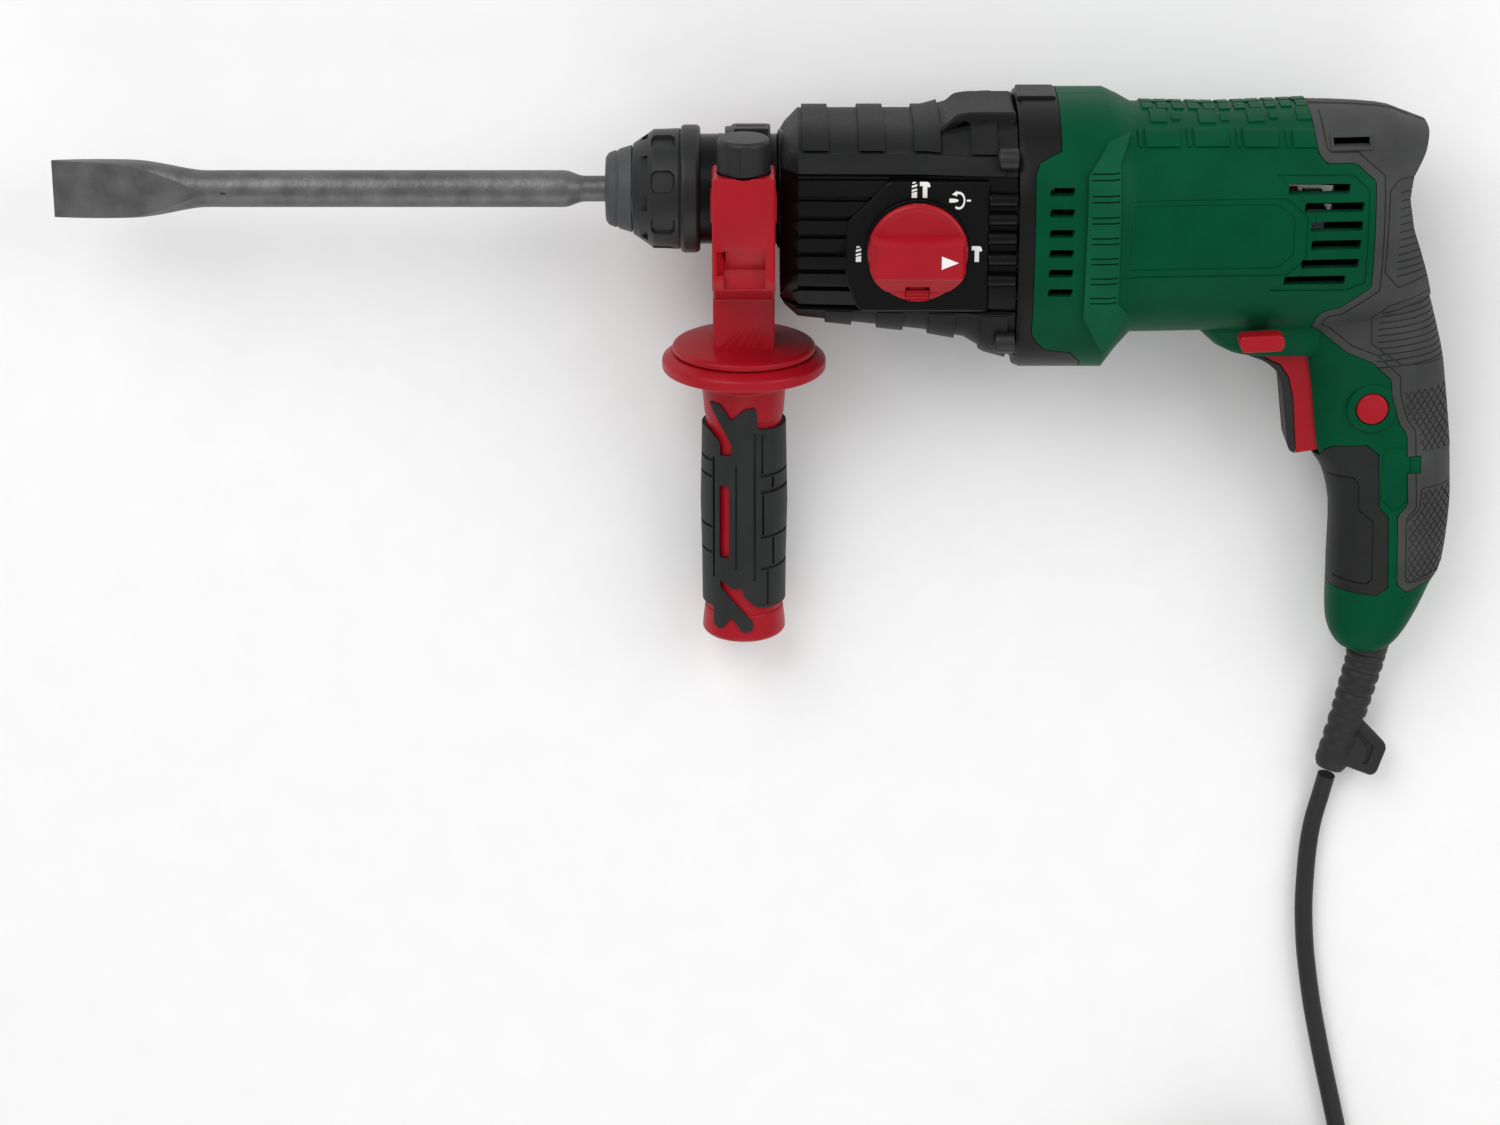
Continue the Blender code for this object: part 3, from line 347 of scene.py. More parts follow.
def plates(outlines, near_y, far_y):
    """Several side-view outlines carried across from one y to another, in one mesh."""
    form = bmesh.new()
    for outline in outlines:
        near = [form.verts.new((a, near_y, b)) for a, b in outline]
        far = [form.verts.new((a, far_y, b)) for a, b in outline]
        form.faces.new(near)
        form.faces.new(list(reversed(far)))
        for i in range(len(outline)):
            j = (i + 1) % len(outline)
            form.faces.new((near[i], far[i], far[j], near[j]))
    return carry(form)


def block(low, high, edge=0.0):
    """A box between two corners, with its edges rounded by edge."""
    (x0, y0, z0), (x1, y1, z1) = low, high
    form = bmesh.new()
    bmesh.ops.create_cube(form, size=1.0)
    bmesh.ops.scale(form, vec=(x1 - x0, y1 - y0, z1 - z0), verts=form.verts)
    bmesh.ops.translate(form, vec=((x0 + x1) / 2, (y0 + y1) / 2, (z0 + z1) / 2), verts=form.verts)
    if edge:
        bmesh.ops.bevel(form, geom=form.edges[:], offset=edge, segments=3, profile=0.6, affect="EDGES")
    return carry(form)


def blocks(spans, turn=None, edge=0.0):
    """Several separate boxes in one mesh; turn is a matrix for each, or none."""
    form = bmesh.new()
    for i, (low, high) in enumerate(spans):
        made = bmesh.ops.create_cube(form, size=1.0)["verts"]
        bmesh.ops.scale(form, vec=Vector(high) - Vector(low), verts=made)
        bmesh.ops.translate(form, vec=(Vector(high) + Vector(low)) / 2, verts=made)
        if turn:
            bmesh.ops.transform(form, matrix=turn[i], verts=made)
    if edge:
        bmesh.ops.bevel(form, geom=form.edges[:], offset=edge, segments=2, profile=0.6, affect="EDGES")
    return carry(form)


def turned(profile, centre=(0, 0, 0), axis="x", steps=64, place=TOOL):
    """A turned part: (along, radius) pairs round an axis through the centre."""
    put = PLACES[axis]
    form = bmesh.new()
    rows = []
    for along, radius in profile:
        count = steps if radius > 1e-6 else 1
        rows.append([
            form.verts.new(Vector(put((radius * math.cos(math.tau * i / steps),
                                       radius * math.sin(math.tau * i / steps)), along)) + Vector(centre))
            for i in range(count)
        ])
    pairs = list(zip(rows, rows[1:]))
    if len(rows[0]) > 1 and len(rows[-1]) > 1:
        pairs.append((rows[-1], rows[0]))
    for first, second in pairs:
        if len(first) == 1 and len(second) == 1:
            continue
        for i in range(steps):
            j = (i + 1) % steps
            corners = [first[i % len(first)], first[j % len(first)], second[j % len(second)], second[i % len(second)]]
            form.faces.new(list(dict.fromkeys(corners)))
    return carry(form, place)


def rod(start, end, radius, centre=(0, 0, 0), axis="x", steps=64):
    """A plain round bar, mostly to cut a bore or to trim to a radius."""
    return turned([(start, 0), (start, radius), (end, radius), (end, 0)], centre, axis, steps)


def settle(obj, *used):
    """Makes the object's modifiers real and removes the helpers they used."""
    graph = bpy.context.evaluated_depsgraph_get()
    mesh = bpy.data.meshes.new_from_object(obj.evaluated_get(graph))
    obj.modifiers.clear()
    obj.data = mesh
    for other in used:
        if not other.get("shared"):
            bpy.data.objects.remove(other)
    return obj


def combine(obj, others, how):
    for other in others:
        step = obj.modifiers.new(how.lower(), "BOOLEAN")
        step.operation = how
        step.object = other
        step.solver = "EXACT"
    return settle(obj, *others)


def cut(obj, *others):
    return combine(obj, others, "DIFFERENCE")


def join(obj, *others):
    return combine(obj, others, "UNION")


def keep(obj, *others):
    return combine(obj, others, "INTERSECT")


def copy_of(obj):
    made = bpy.data.objects.new("copy", obj.data.copy())
    made.matrix_world = obj.matrix_world
    bpy.context.scene.collection.objects.link(made)
    return made


def mirrored(obj, drop=False):
    """The same shape on the tool's other side."""
    made = copy_of(obj)
    made.data.transform(Matrix.Scale(-1, 4, (0, 1, 0)))
    made.data.flip_normals()
    if drop:
        bpy.data.objects.remove(obj)
    return made


def shared(obj):
    """Marks a form that several pieces are cut with, so that it isn't used up."""
    obj["shared"] = True
    obj.hide_render = True
    return obj


def drop_shared():
    for form in list(bpy.data.objects):
        if form.get("shared"):
            bpy.data.objects.remove(form)


def piece(obj, name, body, finish, stands_for=(), angle=32.0, bevel=0.0, weighted=True):
    """Names a finished shape, gives it its material and puts it on its body."""
    obj.name = name
    mesh = obj.data
    mesh.transform(obj.matrix_world)
    obj.matrix_world = Matrix.Identity(4)
    mesh.materials.clear()
    mesh.materials.append(finish)
    if bevel:
        rim = obj.modifiers.new("edges", "BEVEL")
        rim.width = bevel * MM
        rim.segments = 2
        rim.limit_method = "ANGLE"
        rim.angle_limit = math.radians(40)
        settle(obj)
        mesh = obj.data
    for face in mesh.polygons:
        face.use_smooth = True
    mesh.set_sharp_from_angle(angle=math.radians(angle))
    if weighted:
        even = obj.modifiers.new("even_shading", "WEIGHTED_NORMAL")
        even.keep_sharp = True
        even.weight = 60
    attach(obj, body)
    if stands_for:
        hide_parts(*stands_for)
    return obj


def both_sides(left, name, finish, node_stem=None):
    """Names a piece of the left side and its mirror image."""
    for obj, side in ((left, "left"), (mirrored(left), "right")):
        stands_for = ("%s_%s" % (node_stem, side),) if node_stem else ()
        piece(obj, "%s_%s" % (name, side), "housing", finish, stands_for, 28)


def squared(half_a, half_b, squareness, count):
    """Points round a superellipse."""
    found = []
    for i in range(count):
        t = math.tau * i / count
        c, s = math.cos(t), math.sin(t)
        found.append((
            half_a * math.copysign(abs(c) ** (2 / squareness), c),
            half_b * math.copysign(abs(s) ** (2 / squareness), s),
        ))
    return found


def between(rows, start, steps):
    """Stations with smooth ones added after the given one, by a Catmull-Rom curve through them."""
    found = list(rows[: start + 1])
    for i in range(start, len(rows) - 1):
        a, b = rows[max(0, i - 1)], rows[i]
        c, d = rows[i + 1], rows[min(len(rows) - 1, i + 2)]
        for k in range(1, steps + 1):
            t = k / steps
            found.append(tuple(
                0.5 * (2 * q + (r - p) * t + (2 * p - 5 * q + 4 * r - s) * t * t + (3 * q - p - 3 * r + s) * t ** 3)
                for p, q, r, s in zip(a, b, c, d)
            ))
    return found


def barrel_form(inset, front=0.0):
    """The motor barrel and rear cap, started earlier by front."""
    rings = []
    for i, (x, mid, half_z, half_y, square) in enumerate(between(BARREL, 6, 3)):
        shift = -front if i == 0 else 0.0
        rings.append([(x + shift, a, mid + b) for a, b in squared(half_y - inset, half_z - inset, square,
                                                                  RING_SIDES)])
    end = rounded(inside(REAR_END, inset), 1.6)
    end = [(x - front - 9.0 if x < 152.0 + abs(inset) else x, z) for x, z in end]
    return keep(loft(rings), prism(end, "y", -60, 60))


def column_form(rows, inset, end_z, squareness, count):
    """A loft down z; its last rings, below end_z, move up by the inset as well."""
    rings = []
    for z, front, rear, half_y in rows:
        shift = inset if z < end_z else 0.0
        rings.append([
            ((front + rear) / 2 + a, b, z + shift)
            for a, b in squared((rear - front) / 2 - inset, half_y - inset, squareness, count)
        ])
    return loft(rings)


def housing_form(inset, front=0.0):
    """The whole housing, taken in by inset; a negative inset makes it larger."""
    chin = column_form(CHIN, inset, -60, 4.0, 40)
    grip = column_form(between(GRIP, 0, 3), inset, -180, 2.5, 56)
    return join(barrel_form(inset, front), chin, grip)


def gearbox_form(inset, low=0, back=0.0):
    """The gear case from one of its stations on, carried on to the rear by back."""
    rows = GEARBOX[low:]
    rings = []
    for i, (x, top, bottom, half_y) in enumerate(rows):
        shift = back if i == len(rows) - 1 else 0.0
        rings.append([
            (x + shift, a, (top + bottom) / 2 + b)
            for a, b in squared(half_y - inset, (top - bottom) / 2 - inset, 3.2, RING_SIDES)
        ])
    return loft(rings)


# -------------------- camera

LENS = 96.0
CAMERA_AT = (-0.00433, 0.26039, 1.59585)
CAMERA_LEAN = 11.2
camera = bpy.data.objects.new("camera", bpy.data.cameras.new("camera"))
camera.data.lens = LENS
camera.data.sensor_width = 36.0
camera.data.clip_end = 20.0
camera.location = CAMERA_AT
camera.rotation_euler = (-math.radians(CAMERA_LEAN), 0.0, 0.0)
bpy.context.scene.collection.objects.link(camera)
bpy.context.scene.camera = camera

# -------------------- cord

CORD_Z = CORD_D / 2 + 0.3
COIL = Vector((258.0, -468.0))
PLUG = Vector((172.0, -470.0))
RELIEF = ((306.6, -180.0, 18.0), (304.2, -195.0, 15.2), (299.4, -216.0, 11.2), (292.3, -240.6, 8.6))
ROUTE = (
    (291.4, -244.0, 7.9), (289.6, -253.0, 5.4), (286.6, -266.0, CORD_Z), (284.6, -285.0, CORD_Z),
    (284.4, -308.0, CORD_Z), (287.2, -334.0, CORD_Z), (292.1, -360.0, CORD_Z), (298.0, -386.0, CORD_Z),
    (303.5, -410.0, CORD_Z), (308.0, -430.0, CORD_Z),
)
OUTER_TURN = 50.8
INNER_TURN = 35.6
TURN_PITCH = 7.6
LAYER_PITCH = 7.5
LAYER_TURNS = (2.5, 2.5, 2.5, 2.7)


def coil_points():
    """The wound length: layers that spiral in, then out, one on top of the other, turning clockwise."""
    found = []
    per_turn = 18
    angle = math.radians(37.0)
    radius, height = 60.5, CORD_Z
    lead = 5
    for k in range(1, lead):
        share = k / lead
        turn = angle - math.radians(62) * share
        r = radius + (OUTER_TURN - radius) * share
        found.append((COIL.x + r * math.cos(turn), COIL.y + r * math.sin(turn), height))
    angle -= math.radians(62)
    for layer, turns in enumerate(LAYER_TURNS):
        count = int(turns * per_turn)
        for k in range(count + (1 if layer == len(LAYER_TURNS) - 1 else 0)):
            spun = k / per_turn
            inward = layer % 2 == 0
            travel = min(OUTER_TURN - INNER_TURN, TURN_PITCH * spun)
            r = OUTER_TURN - travel if inward else INNER_TURN + travel
            base = CORD_Z + LAYER_PITCH * layer
            climb = min(1.0, spun / 0.22) if layer else 1.0
            z = base - LAYER_PITCH * (1 - climb)
            turn = angle - math.tau * spun
            found.append((COIL.x + r * math.cos(turn), COIL.y + r * math.sin(turn), z))
        angle -= math.tau * count / per_turn
    return found


# The end comes down off the coil and curves round into the plug.
TAIL = ((243.5, -521.5, 24.6), (229.0, -526.2, 20.6), (216.0, -528.6, 16.2), (203.6, -529.1, 12.6),
        (192.8, -527.2, 10.4),
        (183.3, -521.7, 9.4), (176.3, -513.3, 9.1), (172.6, -503.2, 9.1), (172.0, -497.5, 9.1))
cord_line = [Vector(p) for p in (*ROUTE, *coil_points(), *TAIL)]


def curve_piece(name, points, diameter, finish):
    """One open Bezier curve with a round section, in the bench's frame."""
    data = bpy.data.curves.new(name, "CURVE")
    data.dimensions = "3D"
    data.resolution_u = 4
    data.bevel_depth = diameter / 2 * MM
    data.bevel_resolution = 5
    data.use_fill_caps = True
    spline = data.splines.new("BEZIER")
    spline.bezier_points.add(len(points) - 1)
    for point, at in zip(spline.bezier_points, points):
        point.co = at * MM
        point.handle_left_type = "AUTO"
        point.handle_right_type = "AUTO"
    obj = bpy.data.objects.new(name, data)
    obj.matrix_world = BENCH
    data.materials.append(finish)
    bpy.context.scene.collection.objects.link(obj)
    return obj


mains_cord = curve_piece("mains_cord", cord_line, CORD_D, CABLE)
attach(mains_cord, "housing")
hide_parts("power_cord", "cord_coil")

# -------------------- strain relief and plug


def relief_piece():
    """A tapered sleeve with ribs, along a bent line."""
    line = [Vector(p) for p in RELIEF]
    stations = 58
    rings = []
    for k in range(stations + 1):
        share = k / stations
        spot = share * (len(line) - 1)
        i = min(int(spot), len(line) - 2)
        at = line[i].lerp(line[i + 1], spot - i)
        ahead = (line[i + 1] - line[i]).normalized()
        radius = 8.5 + (6.7 - 8.5) * share
        if 0.22 < share < 0.93:
            radius -= 0.9 * (0.5 + 0.5 * math.cos(math.tau * (share - 0.22) / 0.71 * 9)) ** 3
        if share > 0.97:
            radius -= 1.2 * (share - 0.97) / 0.03
        side = ahead.cross(Vector((0, 0, 1))).normalized()
        up = side.cross(ahead)
        rings.append([
            tuple(at + radius * (math.cos(t) * side + math.sin(t) * up))
            for t in (math.tau * j / 40 for j in range(40))
        ])
    sleeve = loft(rings, BENCH)
    # The tab on its side, with its dent, that clips to a folded cord.
    tab = [(301.5, -213.6), (305.2, -220.4), (314.3, -229.8), (314.6, -232.0), (311.0, -241.8), (308.8, -243.2),
           (298.3, -239.2),
           (294.0, -234.6)]
    plate = prism(rounded(tab, 1.2), "z", 8.4, 14.0, 0.8)
    slots = [(303.0, -224.0), (309.6, -230.6), (307.2, -238.0), (305.2, -238.4), (307.0, -231.4), (302.0, -226.0)]
    plate.matrix_world = BENCH
    dent = prism(rounded(slots, 0.6), "z", 13.0, 16.0)
    dent.matrix_world = BENCH
    cut(plate, dent)
    join(sleeve, plate)
    piece(sleeve, "cord_sleeve", "housing", CABLE, ("strain_relief",), 50)


relief_piece()


def plug_piece():
    """A two-pin mains plug, moulded round, with grip ribs and a neck for the cord."""
    outline = [(17.5 * math.cos(t), 17.5 * math.sin(t)) for t in (math.radians(d) for d in range(-52, 233, 8))]
    outline = [(6.6, -27.0), (8.2, -17.5)] + outline + [(-8.2, -17.5), (-6.6, -27.0)]
    place = BENCH @ Matrix.Translation((PLUG.x * MM, PLUG.y * MM, 0))
    body = prism(outline, "z", 0.1, 18.1, 3.2)
    body.matrix_world = place
    ribs = []
    for side in (-1, 1):
        for i in range(5):
            x = side * 16.9
            ribs.append(((x - 1.4, -6.4 + 3.0 * i, 3.0), (x + 1.4, -5.2 + 3.0 * i, 15.2)))
    form = blocks(ribs)
    form.matrix_world = place
    cut(body, form)
    piece(body, "plug_body", "housing", CABLE, ("plug",), 35, bevel=0.3)
    pins = []
    for x in (-9.5, 9.5):
        pins.append(turned(
            rounded([(12.0, 0), (12.0, 2.3), (36.4, 2.3), (36.4, 0)], 1.2, False), (x, 0, 9.1), "y", 32, place=place))
    metal = join(pins[0], pins[1])
    piece(metal, "plug_pins", "housing", BRASS, (), 30)
    return body, metal


plug_body, plug_pins = plug_piece()

# -------------------- chisel and chuck


# Blade sections down from the bar: x, half height, half thickness, squareness.
BLADE = (
    (-146.0, 7.15, 7.15, 2.0), (-156.0, 7.2, 7.15, 2.0), (-163.0, 8.2, 7.15, 2.1), (-170.0, 9.6, 7.1, 2.3),
    (-177.0, 10.7, 7.0, 2.6), (-184.0, 11.2, 6.8, 3.0), (-199.0, 11.25, 6.4, 3.6), (-214.0, 11.3, 6.0, 4.0),
)


def chisel_piece():
    """A quick-change shank, a round bar and a blade forged down to a wedge."""
    bar = turned(
        rounded([(38, 0), (38, 4.2), (37.2, 5.0), (-9.5, 5.0), (-15.0, 7.15), (-150.0, 7.15), (-150.0, 0)], 1.6,
                False),
        steps=56)
    rings = [[(x, a, b) for a, b in squared(thick, high, square, 56)] for x, high, thick,
             square in between(BLADE, 0, 3)]
    blade = loft(rings)
    wedge = [(-214.1, -0.5), (-211.8, -1.0), (-158.7, -7.1), (-140, -9.3), (-140, 9.3), (-158.7, 7.1), (-211.8, 1.0),
             (-214.1, 0.5)]
    keep(blade, prism(wedge, "z", -20, 20))
    join(bar, blade)
    cut(bar, block((13.6, -3.4, 3.3), (28.4, 3.4, 8.0)))
    piece(bar, "flat_chisel", "chisel", FORGED, ("chisel",), 30, bevel=0.3)


SLEEVE_POCKETS = 8


def round_pattern(low, high, count):
    """The same box repeated round the spindle."""
    turns = [Matrix.Rotation(math.tau * i / count, 4, "X") for i in range(count)]
    return blocks([(low, high)] * count, turns)


def sleeve_pieces():
    body = turned(
        rounded([(10.5, 15.6), (10.5, 17.4), (12.0, 18.4), (16.5, 21.4), (18.5, 23.0), (28.4, 23.3), (28.8, 22.9),
                 (29.3, 24.3), (30.3, 24.7), (35.2, 24.7), (36.4, 23.8), (36.5, 22.0), (30.5, 22.0), (29.0, 19.3),
                 (20.2, 19.3), (19.2, 18.0), (19.2, 13.1), (14.4, 13.1), (14.4, 15.6)], 0.5), steps=96)
    pocket = [(17.4, -2.6), (19.2, -4.6), (25.2, -4.6), (27.0, -2.6), (27.0, 2.6), (25.2, 4.6), (19.2, 4.6),
              (17.4, 2.6)]
    for i in range(SLEEVE_POCKETS):
        form = loft([[(x, y, 21.3) for x, y in inside(pocket, 0.8)], [(x, y, 25.5) for x, y in inside(pocket, -0.8)]])
        form.data.transform(Matrix.Rotation(math.tau * (i + 0.5) / SLEEVE_POCKETS, 4, "X"))
        cut(body, form)
    cut(body, round_pattern((9.0, -2.9, 19.2), (16.4, 2.9, 26.0), SLEEVE_POCKETS))
    piece(body, "chuck_sleeve", "locking_sleeve", BLACK, ("locking_sleeve",), 32)
    cap = turned(
        rounded([(0, 5.6), (0, 12.2), (1.2, 13.9), (3.8, 14.9), (4.4, 14.5), (5.2, 15.4), (10.2, 16.9), (10.2, 12.9),
                 (9.2, 12.9), (9.2, 9.3), (4.7, 9.3), (4.7, 5.6)], 0.5), steps=80)
    piece(cap, "nose_cap", "spindle", GREY, ("dust_cap",), 40)


chisel_piece()
sleeve_pieces()

# -------------------- side handle


def side_handle_pieces():
    band = turned(rounded([(46.0, NECK_R + GAP), (46.0, 24.0), (48.5, 24.2), (49.0, 25.0), (63.5, 25.0),
                           (63.5, NECK_R + GAP)], 0.6),
                  steps=96)
    join(band, block((49.5, -9.0, 20.0), (62.5, -1.0, 26.4), 0.6))
    cut(band, block((50.4, -5.5, 25.6), (61.6, -4.5, 28)))
    piece(band, "neck_band", "side_handle", BLACK, ("clamp_band",), 32, bevel=0.25)

    outline = rounded(
        [(-41.0, 15.4), (-41.0, -25.0), (-38.8, -29.5), (-15.5, -39.5), (-12.6, -65.6), (12.6, -65.6), (14.5, -40.0),
         (27.0, -22.0), (29.6, -4.0), (29.6, 5.0), (20.0, 5.0), (0.0, 0.0), (-20.0, 5.0), (-20.0, 15.4)], 1.4)
    bracket = prism(outline, "x", 41.3, 65.3, 0.7)
    join(bracket, block((40.7, -37.0, -3.0), (65.9, -25.5, 8.0), 0.8))
    cut(bracket, rod(30, 80, 25.5, steps=96))
    cut(bracket, rod(-90, -15, 4.4, HANDLE, "z", 32))
    dent = [(-50, -10.8), (-41.3, -10.8), (-34.4, -22.0), (-38.6, -28.2), (-50, -28.2)]
    cut(bracket, prism(dent, "x", 45.6, 61.6))
    cut(bracket, prism([(42.8, -45.0), (42.8, -41.0), (46.4, -35.8), (46.4, -45.0)], "z", -22.5, -13.2))
    cut(bracket, prism([(-50, -40.5), (-15.9, -40.5), (-13.6, -60), (-50, -60)], "x", 44.2, 62.4))
    join(bracket, turned(
        rounded([(-65.7, 4.4), (-65.7, 27.6), (-65.2, 28.0), (-63.4, 28.0), (-62.6, 26.6), (-61.0, 15.0),
                 (-61.0, 4.4)], 0.5),
        HANDLE, "z", 96))
    cut(bracket, rod(-32.2, -15, 7.9, HANDLE, "z", 40))
    cut(bracket, rod(12.8, 20, 10.45, DEPTH_STOP, "z", 56))
    piece(bracket, "handle_yoke", "side_handle", RED, ("handle_bracket",), 32, bevel=0.3)

    button = turned(
        rounded([(15.6, 0), (15.6, 10.2), (27.4, 10.2), (28.8, 9.2), (29.0, 0)], 0.9, False),
        DEPTH_STOP, "z", 64)
    crease = prism([(HANDLE_X - 14, -44.0), (HANDLE_X - 14, -38.2), (HANDLE_X - 1.2, -40.1), (HANDLE_X - 0.6, -44.0)],
                   "z", 10, 26.6)
    cut(button, crease)
    # Room for the neck band when the button is pressed in.
    cut(button, rod(40, 70, 25.4, (0, 0, 2.4), steps=96))
    piece(button, "depth_stop_knob", "depth_stop_button", BLACK, ("depth_stop_button",), 34,
          bevel=0.25)


def grip_pieces():
    core = turned(
        rounded([(-66.1, 4.4), (-66.1, 28.7), (-67.4, 30.6), (-68.6, FLANGE_R), (-72.6, FLANGE_R), (-74.2, 27.5),
                 (-75.6, 20.0), (-79.0, 16.6), (-91.6, 15.6), (-91.6, 13.2), (-172.4, 13.2), (-172.4, 15.6),
                 (-179.0, 16.4), (-182.4, 16.6), (SIDE_GRIP_END_Z, 15.0), (SIDE_GRIP_END_Z, 0.0), (-106.0, 0.0),
                 (-106.0, 4.4)], 0.9, False), HANDLE, "z", 96)
    inlay = turned(rounded([(-90.0, 13.0), (-90.0, 15.0), (-173.0, 15.0), (-173.0, 13.0)], 0.3), HANDLE, "z", 96)
    core = join(core, inlay)
    piece(core, "grip_core", "side_grip", RED, ("side_grip_core",), 34)

    cover = turned(
        [(-83.6, 15.3), (-83.6, 16.9), (-92.0, 16.6), (-104.0, 16.8), (-128.0, 17.3), (-150.0, 16.8), (-172.0, 16.6),
         (-180.0, 17.1), (-180.0, 15.3)], HANDLE, "z", 128)
    bare = []
    # Where the red shows: above and below the cover's arms, in x from the grip's axis and z.
    shapes = (
        [(-14.0, -70), (-13.2, -83.0), (-11.6, -82.8), (-9.6, -83.6), (-4.9, -89.8), (0.0, -85.2), (1.6, -84.6),
         (4.4, -84.5),
         (5.0, -86.0), (5.4, -93.4), (10.8, -94.2), (30, -95.2), (30, -70)],
        [(-30, -70), (-13.4, -70), (-13.2, -85.0), (-4.9, -99.9), (-4.9, -104.2), (-9.4, -104.9), (-9.4, -99.5),
         (-13.8, -95.2),
         (-30, -94.8)],
        [(-9.4, -157.3), (-4.5, -160.8), (-0.9, -160.0), (0.0, -163.5), (4.5, -168.1), (9.0, -169.4), (30, -169.8),
         (30, -186), (-30, -186), (-30, -170.2), (-12.1, -169.6), (-12.1, -177.2), (-9.4, -178.7), (-4.9, -173.0),
         (-0.4, -179.2), (3.4, -178.4), (3.8, -175.0), (-9.4, -160.6)],
    )
    for shape in shapes:
        outline = [(HANDLE_X + x, z) for x, z in rounded(shape, 0.9)]
        bare.append(outline)
    slot = rounded([(-9.7, -117.2), (-5.9, -117.2), (-5.9, -147.8), (-9.7, -147.8)], 0.8)
    bare.append([(HANDLE_X + x, z) for x, z in slot])
    for outline in bare:
        for low, high in ((-30, 0.02), (-0.02, 30)):
            cut(cover, prism(outline, "y", low, high))
    # Panels pressed into the cover, on the near side and the far one.
    for sign in (-1, 1):
        upright, level = [], []
        for x0, x1, z0, z1 in ((3.7, 4.7, -157, -95), (-3.4, -2.6, -152, -108), (-12.3, -11.5, -157, -106),
                               (6.8, 7.6, -112.0, -96), (11.0, 11.8, -118.6, -114.0), (7.2, 8.0, -137.8, -121.0),
                               (11.2, 12.0, -151.2, -139.8), (9.0, 9.8, -168.0, -153.4)):
            upright.append(((HANDLE_X + x0, 6, z0), (HANDLE_X + x1, 30, z1)))
        for z, wide in ((-113.0, 1.0), (-119.8, 1.5), (-138.8, 1.0), (-152.3, 1.2)):
            level.append(((HANDLE_X + 6.6, -1, z - wide / 2), (HANDLE_X + 30, 30, z + wide / 2)))
        for z, wide in ((-107.6, 1.2), (-114.4, 1.2), (-135.6, 1.2), (-146.6, 1.2)):
            level.append(((HANDLE_X - 30, -1, z - wide / 2), (HANDLE_X - 12.5, 30, z + wide / 2)))
        form = blocks(upright + level)
        shell = rod(-80, -186, 16.1, HANDLE, "z", 96)
        cut(form, shell)
        if sign < 0:
            form = mirrored(form, drop=True)
        cut(cover, form)
    piece(cover, "grip_cover", "side_grip", GRIP_SOFT, ("side_grip_cover",), 34)


side_handle_pieces()
grip_pieces()

# -------------------- gear case

# Side ribs of the gear case: top edge and rear end of each.
LAST_RIB_Z = -36.6
RIB_ROWS = ((14.6, 112.0), (6.9, 102.0), (-0.5, 96.0), (-7.6, 92.0), (-14.7, 96.0), (-21.5, 101.0), (-28.6, 108.0))


